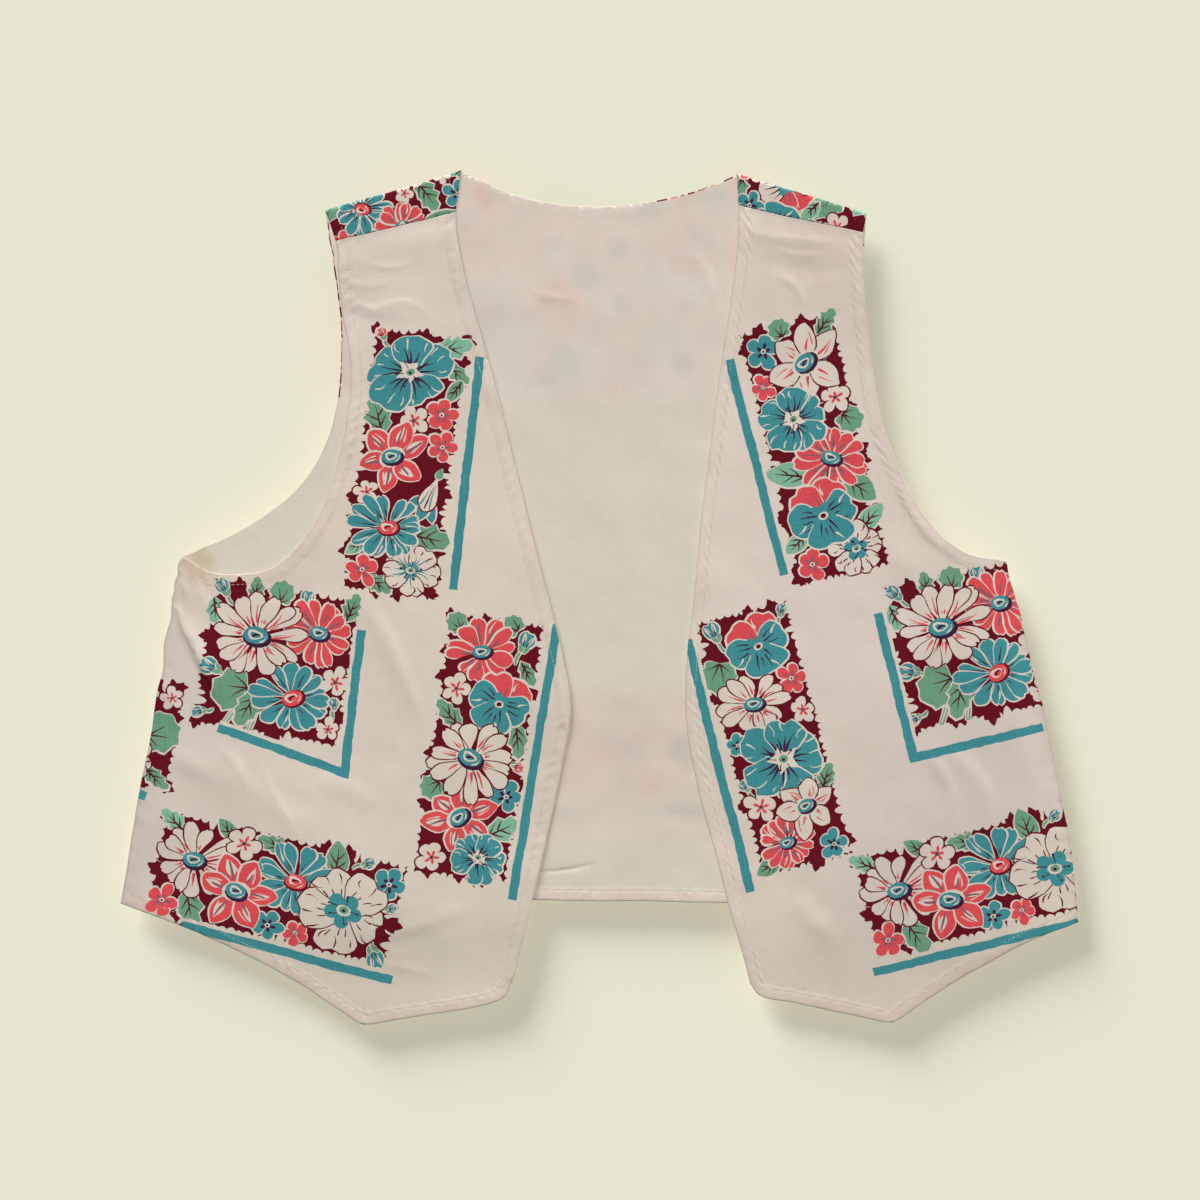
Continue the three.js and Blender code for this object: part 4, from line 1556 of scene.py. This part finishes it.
MIX_COLOUR_A, MIX_COLOUR_B, MIX_COLOUR_OUT = 6, 7, 2  # a Mix node's colour sockets


def feed(tree: NodeTree, node: Node, inputs: Inputs) -> Node:
    """Fill or link a node's sockets.

    Args:
        tree: The node's tree.
        node: The node.
        inputs: For a socket's name or number, its value or the socket that it is linked from.

    Returns:
        The same node.
    """
    for key, value in inputs.items():
        if isinstance(value, NodeSocket):
            tree.links.new(value, node.inputs[key])
        else:
            node.inputs[key].default_value = value
    return node


def add_node(tree: NodeTree, kind: str, inputs: Inputs, **settings: object) -> Node:
    """Add a node to a tree.

    Args:
        tree: The tree.
        kind: The node's type.
        inputs: Its sockets: see feed.
        settings: Its other settings.

    Returns:
        The node.
    """
    node = tree.nodes.new(kind)
    for name, value in settings.items():
        setattr(node, name, value)
    return feed(tree, node, inputs)


def calculate(tree: NodeTree, kind: str, *values: object) -> NodeSocket:
    """A Math node fed by sockets or numbers, as its output."""
    return add_node(tree, "ShaderNodeMath", dict(enumerate(values)), operation=kind).outputs[0]


def noise(tree: NodeTree, vector: NodeSocket, scale: Sequence[float], detail: float = 2.0
          ) -> NodeSocket:
    """A Noise Texture stretched by a scale for each direction, as its value."""
    stretch = add_node(tree, "ShaderNodeMapping", {"Vector": vector, "Scale": scale},
                       vector_type="POINT")
    sockets = {"Vector": stretch.outputs[0], "Scale": 1.0, "Detail": detail}
    return add_node(tree, "ShaderNodeTexNoise", sockets).outputs["Fac"]


def weave_group() -> NodeTree:
    """The node group of a plain weave, built once.

    Returns:
        The group: it takes thread coordinates in millimetres, the pitch of the threads
        and the depth of their slubs, and gives a shade about 1 and a height.
    """
    name = "plain_weave"
    if name in bpy.data.node_groups:
        return bpy.data.node_groups[name]
    tree = bpy.data.node_groups.new(name, "ShaderNodeTree")
    face = tree.interface
    face.new_socket("Threads", in_out="INPUT", socket_type="NodeSocketVector")
    for label, value in (("Pitch", 0.5), ("Slub", 0.06)):
        face.new_socket(label, in_out="INPUT", socket_type="NodeSocketFloat").default_value = value
    for label in ("Shade", "Height"):
        face.new_socket(label, in_out="OUTPUT", socket_type="NodeSocketFloat")
    do = partial(calculate, tree)
    threads, pitch, slub = tree.nodes.new("NodeGroupInput").outputs[:3]
    place = add_node(tree, "ShaderNodeSeparateXYZ", {0: threads}).outputs
    waves = [do("SINE", do("MULTIPLY", do("DIVIDE", place[axis], pitch), math.pi))
             for axis in (0, 1)]
    over = do("GREATER_THAN", do("MULTIPLY", *waves), 0.0)
    warp = do("MULTIPLY", do("ABSOLUTE", waves[0]), over)
    weft = do("MULTIPLY", do("ABSOLUTE", waves[1]), do("SUBTRACT", 1.0, over))
    slubs = [noise(tree, threads, scale) for scale in ((0.06, 1.5, 1.0), (1.5, 0.05, 1.0))]
    centred = do("SUBTRACT", do("ADD", *slubs), 1.0)
    grain = noise(tree, threads, (0.9, 0.9, 1.0), 3.0)
    mottle = do("MULTIPLY", do("SUBTRACT", grain, 0.5), slub)
    streaked = do("ADD", do("MULTIPLY", centred, slub), mottle)
    feed(tree, tree.nodes.new("NodeGroupOutput"), {
        "Shade": do("ADD", streaked, 1.0),
        "Height": do("ADD", do("ADD", warp, weft), do("MULTIPLY", centred, 0.9)),
    })
    return tree


def new_material(name: str) -> tuple[Material, NodeTree, Node]:
    """A new material, its node tree and its Principled shader."""
    made = bpy.data.materials.new(name)
    made.use_nodes = True
    return made, made.node_tree, made.node_tree.nodes["Principled BSDF"]


@dataclass(frozen=True)
class PrintedCotton:
    """The tablecloth's cotton: a plain weave, its print a little worn."""

    name: str = "table_cotton"
    pitch: float = 0.52
    slub: float = 0.075
    inked_slub: float = 4.2  # times deeper under the print
    roughness: float = 0.88
    relief: float = 0.00005

    def material(self) -> Material:
        """The finish as a material, made once."""
        if self.name in bpy.data.materials:
            return bpy.data.materials[self.name]
        made, tree, shader = new_material(self.name)
        do = partial(calculate, tree)
        ink, cloth, threads = (
            add_node(tree, "ShaderNodeAttribute", {}, attribute_name=name).outputs
            for name in ("print", "cloth", "threads"))
        inked = do("MULTIPLY", ink["Alpha"], self.inked_slub * self.slub)
        weave = add_node(tree, "ShaderNodeGroup", {
            "Threads": threads["Vector"], "Pitch": self.pitch, "Slub": do("ADD", inked, self.slub),
        }, node_tree=weave_group()).outputs
        fade = noise(tree, threads["Vector"], (1.3, 1.3, 1.0), 4.0)
        cover = do("SUBTRACT", 1.045, do("MULTIPLY", fade, 0.09))
        mix = add_node(tree, "ShaderNodeMix", {
            0: do("MULTIPLY", ink["Alpha"], cover), MIX_COLOUR_A: cloth["Color"],
            MIX_COLOUR_B: ink["Color"]}, data_type="RGBA").outputs
        shaded = add_node(tree, "ShaderNodeVectorMath", {
            0: mix[MIX_COLOUR_OUT], "Scale": weave["Shade"]}, operation="SCALE")
        bump = add_node(tree, "ShaderNodeBump", {
            "Strength": 0.6, "Distance": self.relief, "Height": weave["Height"]})
        feed(tree, shader, {
            "Base Color": shaded.outputs[0], "Normal": bump.outputs[0],
            "Roughness": self.roughness, "Specular IOR Level": 0.06,
            "Sheen Weight": 0.02, "Sheen Roughness": 0.6})
        return made


@dataclass(frozen=True)
class SewingThread:
    """Cream cotton thread."""

    name: str = "sewing_thread"
    colour: tuple[int, int, int] = (209, 196, 179)
    fibre: float = 2600.0  # its streaks in one metre

    def material(self) -> Material:
        """The finish as a material, made once."""
        if self.name in bpy.data.materials:
            return bpy.data.materials[self.name]
        made, tree, shader = new_material(self.name)
        place = tree.nodes.new("ShaderNodeTexCoord").outputs["Object"]
        shade = add_node(tree, "ShaderNodeMapRange", {
            "Value": noise(tree, place, (self.fibre,) * 3), "To Min": 0.88, "To Max": 1.08})
        tint = add_node(tree, "ShaderNodeVectorMath", {
            0: linear(self.colour), "Scale": shade.outputs["Result"]}, operation="SCALE")
        feed(tree, shader, {
            "Base Color": tint.outputs[0], "Roughness": 0.8, "Specular IOR Level": 0.25})
        return made


@dataclass(frozen=True)
class StudioPaper:
    """The plain pale surface that the waistcoat lies on."""

    name: str = "studio_paper"
    colour: tuple[int, int, int] = (231, 229, 208)

    def material(self) -> Material:
        """The finish as a material."""
        made, tree, shader = new_material(self.name)
        feed(tree, shader, {"Base Color": (*linear(self.colour), 1.0), "Roughness": 0.95,
                            "Specular IOR Level": 0.0})
        return made


# ---- stitching


def show(name: str, data: bpy.types.ID) -> Object:
    """Put an object with some data into the scene."""
    made = bpy.data.objects.new(name, data)
    bpy.context.scene.collection.objects.link(made)
    return made


@dataclass
class Stitching:
    """Running stitches along rows, made by Geometry Nodes."""

    name: str
    rows: list[Points]
    thread: SewingThread
    pitch: float = 2.7
    length: float = 2.2
    thickness: float = 0.25
    seed: int = 3

    def guide(self) -> Object:
        """The rows as a mesh of edges."""
        verts, edges = [], []
        for row in self.rows:
            first = len(verts)
            verts += [tuple(p * MM) for p in row]
            edges += [(k, k + 1) for k in range(first, len(verts) - 1)]
        mesh = bpy.data.meshes.new(self.name)
        mesh.from_pydata(verts, edges, [])
        return show(self.name, mesh)

    def tree(self) -> NodeTree:
        """The node tree that lays stitches along edges."""
        tree = bpy.data.node_groups.new("stitch_row", "GeometryNodeTree")
        face = tree.interface
        face.new_socket("Geometry", in_out="INPUT", socket_type="NodeSocketGeometry")
        for label, value in (("Pitch", self.pitch), ("Length", self.length),
                             ("Thickness", self.thickness)):
            face.new_socket(label, in_out="INPUT",
                            socket_type="NodeSocketFloat").default_value = value * MM
        face.new_socket("Seed", in_out="INPUT", socket_type="NodeSocketInt").default_value = 1
        face.new_socket("Geometry", in_out="OUTPUT", socket_type="NodeSocketGeometry")
        given = tree.nodes.new("NodeGroupInput").outputs
        add = partial(add_node, tree)
        curve = add("GeometryNodeMeshToCurve", {0: given["Geometry"]})
        points = add("GeometryNodeCurveToPoints", {
            "Curve": curve.outputs[0], "Length": given["Pitch"]}, mode="LENGTH").outputs
        bead = add("GeometryNodeMeshUVSphere", {"Segments": 6, "Rings": 5, "Radius": 0.5})
        size = add("ShaderNodeCombineXYZ", {
            "X": given["Thickness"], "Y": given["Thickness"], "Z": given["Length"]})
        lengths = add("FunctionNodeRandomValue", {2: 0.84, 3: 1.1, "Seed": given["Seed"]},
                      data_type="FLOAT")
        scale = add("ShaderNodeVectorMath", {
            0: size.outputs[0], "Scale": lengths.outputs[1]}, operation="SCALE")
        lay = add("GeometryNodeInstanceOnPoints", {
            "Points": points["Points"], "Instance": bead.outputs["Mesh"],
            "Rotation": points["Rotation"], "Scale": scale.outputs[0]})
        real = add("GeometryNodeRealizeInstances", {0: lay.outputs[0]})
        shade = add("GeometryNodeSetMaterial", {
            "Geometry": real.outputs[0], "Material": self.thread.material()})
        feed(tree, tree.nodes.new("NodeGroupOutput"), {0: shade.outputs[0]})
        return tree

    def build(self) -> Object:
        """Lay the stitches and keep them as a plain mesh."""
        piece = self.guide()
        tree = self.tree()
        modifier = piece.modifiers.new("stitches", "NODES")
        modifier.node_group = tree
        for item in tree.interface.items_tree:
            if item.in_out == "INPUT" and item.name == "Seed":
                modifier[item.identifier] = self.seed
        graph = bpy.context.evaluated_depsgraph_get()
        mesh = bpy.data.meshes.new_from_object(piece.evaluated_get(graph))
        piece.modifiers.remove(modifier)
        piece.data = mesh
        mesh.shade_smooth()
        return piece


# ---- the pattern


@dataclass(frozen=True)
class Cut:
    """The corners of one half of the pattern, as it lies, in millimetres."""

    fold_neck: Pair
    fold_arm: Pair
    seam_neck: Pair
    seam_arm: Pair
    pit: Pair
    hem_corner: Pair
    back_corner: Pair
    point: Pair
    front_corner: Pair


RIGHT = Cut((-79, 247.5), (-159, 224), (-83.5, 224), (-153, 207.5), (-240.5, 25),
            (-277.5, -176), (-277.5, -176), (-137.5, -247.5), (-50, -222.5))
LEFT = Cut((79, 245.5), (154.5, 222), (80, 228), (152.5, 212), (236.5, 21.5),
           (277.5, -187), (276.5, -180), (169.5, -247), (87, -222.5))
NECK = ((-46, 233.5), (0, 227.5), (53, 235.5))
BACK_HEM = ((-150, -174), (14, -175), (200, -178.5))
SIDES = {"right": ((-248, -3), (-258, -64.5), (-273, -150)),
         "left": ((240, 5), (256.5, -59), (273, -140.5))}
BACK_ARMHOLES = {"right": ((-149.5, 151), (-156, 97.5), (-174.5, 65), (-204.5, 42)),
                 "left": ((152, 164), (161.5, 102), (182, 53), (209, 27))}
FRONT_ARMHOLES = {"right": ((-149.5, 169.5), (-144, 127), (-161, 51), (-186, 20),
                            (-207, 14.5), (-227, 16.3)),
                  "left": ((154.5, 164), (164, 102), (184.5, 53.5), (211, 28))}
FRONT_HEMS = {"right": ((-245.5, -188), (-174.5, -222.5)), "left": ((245.5, -200), (194, -229.5))}
LOWER_EDGES = {"right": ((-69, -235.5), (-56, -231)), "left": ((116.5, -234.5), (92, -229.5))}
FRONT_EDGES = {"right": ((-21, -94), (-16.5, -66), (-22, -33), (-44, 57), (-66, 143.5),
                         (-82, 205)),
               "left": ((54, -94), (50, -55), (55.5, 14.5), (71.5, 143), (79.5, 205))}

RIGHT_CREASES = each(
    Crease,
    (((-149, 176), (-131, 168), (-114, 173), (-97, 165)), 0.28, 4.6, 0.3),
    (((-150, 186), (-136, 181), (-120, 184)), 0.18, 3.2),
    (((-150, 168), (-128, 160), (-105, 160)), -0.2, 6.2),
    (((-140, 196), (-122, 192), (-104, 196)), 0.16, 3),
    (((-246, -8), (-239, -20), (-234, -31), (-229, -42), (-222, -56)), 1.3, 5.2, -0.42),
    (((-247, 14), (-242, 9), (-240, 3)), 0.45, 2.6, -0.3),
    (((-249, -2), (-244, -8), (-243, -14)), 0.4, 2.4, -0.3),
    (((-257, -46), (-250, -56), (-246, -70)), 0.4, 4.5, -0.2),
    (((-236, 8), (-228, -2), (-222, -14)), 0.3, 5),
    (((-136, 0), (-125, -18), (-117, -35), (-108, -56), (-102, -76)), 0.66, 7.5, 0.3),
    (((-198, -94), (-189, -112), (-180, -129), (-174, -140)), 0.3, 5.4, 0.3),
    (((-223, -85), (-213, -94), (-204, -108)), 0.27, 4.6, -0.2),
    (((-230, -88), (-200, -112), (-178, -128), (-150, -136)), 0.55, 15, 0.25),
    (((-250, -84), (-238, -96), (-220, -104)), 0.4, 8),
    (((-170, -104), (-150, -108), (-126, -120)), 0.35, 9, 0.2),
    (((-132, -196), (-104, -190), (-76, -180)), 0.28, 6.2, -0.2),
    (((-128, -212), (-112, -214), (-96, -219)), 0.15, 4),
    (((-205, 0), (-170, -6), (-140, 4)), 0.3, 11),
)
RIGHT_BLOCKS = each(
    Block,
    (CHEST_RIGHT, -112.4, 78.6, -7.5), (SQUARE, -187.6, -36.4, -9.5), (CORNER, -274, -76, -9),
    (WIDE, -187.3, -167.6, -13), (WAIST_RIGHT, -70.2, -86.7, -8.6),
)
RIGHT_BARS = (
    ((-69.3, 140.4), (-85, 5.2)),
    ((-137.8, -18), (-147.6, -100.9), (-221.3, -74.8)),
    ((-285, -107), (-262.4, -114.6)),
    ((-242.2, -189.1), (-120.4, -221)),
    ((-24.7, -15.1), (-50.8, -174.6)),
)
# Small entries are stains. The broad ones are painted light and shade: lighter in the middle and to
# the upper left, darker to the outer side, the bottom and the shoulder crease.
RIGHT_STAINS_AND_SHADE = each(
    StainAndShade,
    (-232, 20, 8, (0.9, 0.82, 0.66)), (-21, -73, 1.2, (0.8, 0.66, 0.45)),
    (-60, 22, 60, (1.065, 1.07, 1.05)), (-206, 66, 55, (1.1, 1.05, 1.035)),
    (-245, -60, 50, (0.985, 0.98, 1.02)), (-150, -108, 55, (1.05, 1.05, 1.08)),
    (-268, -150, 40, (0.95, 0.93, 0.98)), (-110, -186, 45, (0.96, 0.97, 0.975)),
    (-75, -222, 32, (1.08, 1.09, 1.085)), (-166, 206, 30, (0.89, 0.92, 0.9)),
)

LEFT_CREASES = each(
    Crease,
    (((85, 212), (108, 209), (141, 206)), 0.28, 4.6, 0.2),
    (((100, 203), (118, 199), (132, 201)), 0.2, 3.4),
    (((92, 196), (118, 190), (148, 192)), -0.2, 6.2),
    (((104, 188), (114, 180), (118, 168)), 0.3, 4),
    (((188, -88), (196, -97), (203, -112), (200, -129)), 0.4, 5.5),
    (((200, -87), (220, -104), (226, -126)), 0.5, 8, 0.3),
    (((112, -170), (124, -186), (139, -201)), 0.45, 9),
    (((214, 4), (196, -18), (178, -44)), 0.4, 11),
    (((92, -40), (104, -80), (112, -120)), 0.35, 13),
    (((150, 60), (168, 30), (190, 12)), 0.3, 11),
    (((256, -92), (264, -122), (266, -158)), 0.4, 9),
    (((172, 66), (184, 44), (204, 26)), 0.35, 4.5),
)
LEFT_BLOCKS = each(
    Block,
    (CHEST_LEFT, 124.9, 86.4, 13.3), (SQUARE, 214.4, -26.6, 11),
    (WAIST_LEFT, 101, -80.7, 14.8), (WIDE, 223.3, -162.3, 13.5),
)
LEFT_BARS = (
    ((75.7, 138.6), (106.4, 13.9)),
    ((161, -8.1), (181.8, -91.6), (257.2, -74.2)),
    ((51.3, -23.8), (87.3, -170)),
    ((158.6, -216.3), (277, -187.3)),
)
# Small entries are stains. The broad ones are painted light and shade: lighter in the middle and
# near the lower point, darker to the outer side, the bottom and the shoulder crease.
LEFT_STAINS_AND_SHADE = each(
    StainAndShade,
    (74, -37, 0.9, (0.7, 0.55, 0.4)), (260, -150, 1.0, (0.7, 0.6, 0.5)),
    (268, -117, 0.9, (0.75, 0.6, 0.5)), (118, -225, 0.9, (0.7, 0.6, 0.5)),
    (48, 55, 60, (1.08, 1.075, 1.09)), (128, -25, 55, (1.06, 1.04, 1.08)),
    (222, -105, 60, (0.955, 0.935, 1.0)), (165, -158, 42, (0.95, 0.94, 1.0)),
    (88, -218, 32, (1.08, 1.08, 1.09)), (84, -147, 28, (1.06, 1.03, 1.06)),
    (128, 208, 34, (0.9, 0.88, 0.86)),
)

BACK_CREASES = each(
    Crease,
    (((50, 206), (60, 190), (68, 170)), 0.3, 6),
    (((-38, -158.5), (-20, -157), (-2, -153)), -0.34, 2.0),
    (((-38, 178), (-28, 175), (-15, 174)), 0.25, 4),
    (((-10, 60), (14, 40), (20, 0)), 0.22, 11),
    (((-120, 40), (-80, 20), (-60, -30)), 0.3, 12),
    (((120, -20), (140, -60), (130, -110)), 0.3, 12),
)
BACK_BLOCKS = each(
    Block,
    (CHEST_RIGHT, -104, 22, 1.5), (CHEST_LEFT, 108, 20, -1.5), (SQUARE, -196, -72, 1.5),
    (SQUARE, 198, -74, -1.5), (WIDE, 10, -84, 0.5),
)
BACK_BARS = (((-66, 92), (-70, -50)), ((70, 90), (74, -52)), ((-60, -122.5), (80, -122.5)))
BACK_STAINS = each(StainAndShade, (-225, 20, 5, (0.88, 0.83, 0.72)), (-232, 25, 7, (0.9, 0.83, 0.7)))


def edge_line(start: Pair, between: Sequence[Pair], end: Pair) -> Points:
    """An edge of the pattern through its corners and the points between them."""
    return curve_through((start, *between, end), EDGE_STEP)


def front_edges(cut: Cut, side: str) -> dict[str, Points]:
    """The edges of one front, in order round it."""
    return {
        "shoulder": edge_line(cut.seam_neck, (), cut.seam_arm),
        "armhole": edge_line(cut.seam_arm, FRONT_ARMHOLES[side], cut.pit),
        "side": edge_line(cut.pit, SIDES[side], cut.hem_corner),
        "hem": edge_line(cut.hem_corner, FRONT_HEMS[side], cut.point),
        "lower": edge_line(cut.point, LOWER_EDGES[side], cut.front_corner),
        "open": edge_line(cut.front_corner, FRONT_EDGES[side], cut.seam_neck),
    }


def back_edges(right: Shoulder, left: Shoulder) -> dict[str, Points]:
    """The edges of the back's flat cut, in order round it."""
    edges = {"neck": edge_line(RIGHT.fold_neck, NECK, LEFT.fold_neck)}
    for name, cut, fold in (("left", LEFT, left), ("right", RIGHT, right)):
        neck, arm = fold.unfolded(cut.seam_neck), fold.unfolded(cut.seam_arm)
        steps = [
            (f"{name}_strap_neck", edge_line(cut.fold_neck, (), neck)),
            (f"{name}_shoulder", edge_line(neck, (), arm)),
            (f"{name}_strap_arm", edge_line(arm, (), cut.fold_arm)),
            (f"{name}_armhole", edge_line(cut.fold_arm, BACK_ARMHOLES[name], cut.pit)),
            (f"{name}_side", edge_line(cut.pit, SIDES[name], cut.back_corner)),
        ]
        if name == "left":
            edges.update(steps)
            edges["hem"] = edge_line(LEFT.back_corner, BACK_HEM[::-1], RIGHT.back_corner)
        else:
            edges.update((key, line[::-1]) for key, line in reversed(steps))
    return edges


# ---- the garment


class Waistcoat:
    """The whole garment: a back, two fronts and their stitching."""

    cloth = PrintedCotton()
    thread = SewingThread()

    def right_front(self) -> Front:
        """The wearer's right front."""
        return Front(
            "right_front", front_edges(RIGHT, "right"), stains_and_shade=RIGHT_STAINS_AND_SHADE,
            creases=RIGHT_CREASES, blocks=RIGHT_BLOCKS, bars=RIGHT_BARS,
            tabs=each(Tab, (-89, 211, 11, 18, 4), (-146.5, 198.5, 10, 17, 4)), seed=100)

    def left_front(self) -> Front:
        """The wearer's left front."""
        return Front(
            "left_front", front_edges(LEFT, "left"), stains_and_shade=LEFT_STAINS_AND_SHADE, creases=LEFT_CREASES,
            blocks=LEFT_BLOCKS, bars=LEFT_BARS, slant=1.5, seed=200)

    def back(self) -> Back:
        """The back with its folded shoulders."""
        folds = tuple(Shoulder(cut.fold_neck, cut.fold_arm) for cut in (RIGHT, LEFT))
        return Back(
            "back", back_edges(*folds), stains_and_shade=BACK_STAINS, shoulders=folds,
            creases=BACK_CREASES, blocks=BACK_BLOCKS, bars=BACK_BARS)

    def dress(self, panel: Panel) -> None:
        """Build one panel and its stitches, attach them to the body, hide the panel's part and log
        their faces.
        """
        piece = panel.build(self.cloth)
        stitches = Stitching(f"{panel.node}_stitches", panel.stitch_rows(), self.thread).build()
        for part in (piece, stitches):
            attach(part, BODY)
        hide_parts(panel.node)
        list(panel.rests_on)
        LOG.info("%s: %d faces, and %d in its stitches", piece.name, len(piece.data.polygons),
                 len(stitches.data.polygons))

    def build(self) -> None:
        """Build every panel, the back first."""
        for panel in (self.back(), self.right_front(), self.left_front()):
            self.dress(panel)


@dataclass(frozen=True)
class Studio:
    """The pale surface, the soft light and the camera above, in metres."""

    paper: StudioPaper = StudioPaper()
    floor_size: float = 6.0
    camera_height: float = 2.5
    view_width: float = 0.696
    film: float = 36.0  # the camera's, in millimetres
    surface_height: float = -0.0125
    key_share: float = 0.36
    sky_share: float = 0.2

    def build(self) -> None:
        """Put up the surface, the lights and the camera."""
        bpy.context.scene.view_settings.view_transform = "Standard"
        self.floor()
        self.lights()
        self.camera()

    def floor(self) -> None:
        """A flat surface a little way under the cloth, so that its shadow falls clear."""
        half, z = self.floor_size / 2, self.surface_height
        mesh = bpy.data.meshes.new("surface")
        corners = [(-half, -half, z), (half, -half, z), (half, half, z), (-half, half, z)]
        mesh.from_pydata(corners, [], [(0, 1, 2, 3)])
        mesh.materials.append(self.paper.material())
        show("surface", mesh)

    def lights(self) -> None:
        """A soft key from the upper left, a fill from the upper right and an even sky.

        Only the key casts a shadow, as with broad studio lights.
        """
        world = bpy.data.worlds.new("studio")
        world.use_nodes = True
        feed(world.node_tree, world.node_tree.nodes["Background"], {
            "Color": (1.0, 1.0, 1.0, 1.0), "Strength": self.sky_share})
        bpy.context.scene.world = world
        fill_share = 1.0 - self.key_share - self.sky_share
        self.lamp("key", self.key_share, 121.5, 24.0, 27.0, True)
        self.lamp("fill", fill_share, 55.0, 19.0, 25.0, False)

    def lamp(self, name: str, share: float, bearing: float, height: float, softness: float,
             shadow: bool) -> None:
        """Put up one distant light.

        Args:
            name: Of the light.
            share: Of the light that falls on the surface.
            bearing: Where it comes from, in degrees round from +x.
            height: In degrees over the surface.
            softness: How broad it is, in degrees.
            shadow: Whether it casts a shadow.
        """
        sun = bpy.data.lights.new(name, "SUN")
        sun.angle = math.radians(softness)
        sun.energy = share * math.pi / math.sin(math.radians(height))
        sun.use_shadow = shadow
        out, up = polar(1.0, height)
        source = Vector((*polar(out, bearing), up))
        show(name, sun).rotation_euler = source.to_track_quat("Z", "Y").to_euler()

    def camera(self) -> None:
        """A camera straight above the middle of the cloth."""
        lens = bpy.data.cameras.new("camera")
        lens.sensor_width = self.film
        lens.lens = self.film * self.camera_height / self.view_width
        seat = show("camera", lens)
        seat.location = (0.0003, -0.0006, self.camera_height)
        bpy.context.scene.camera = seat


def main() -> None:
    """Build the waistcoat and its studio; each piece's faces are logged as it is built."""
    logging.basicConfig(level=logging.INFO, format="%(name)s: %(message)s")
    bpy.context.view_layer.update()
    Studio().build()
    Waistcoat().build()


if __name__ == "__main__":
    main()
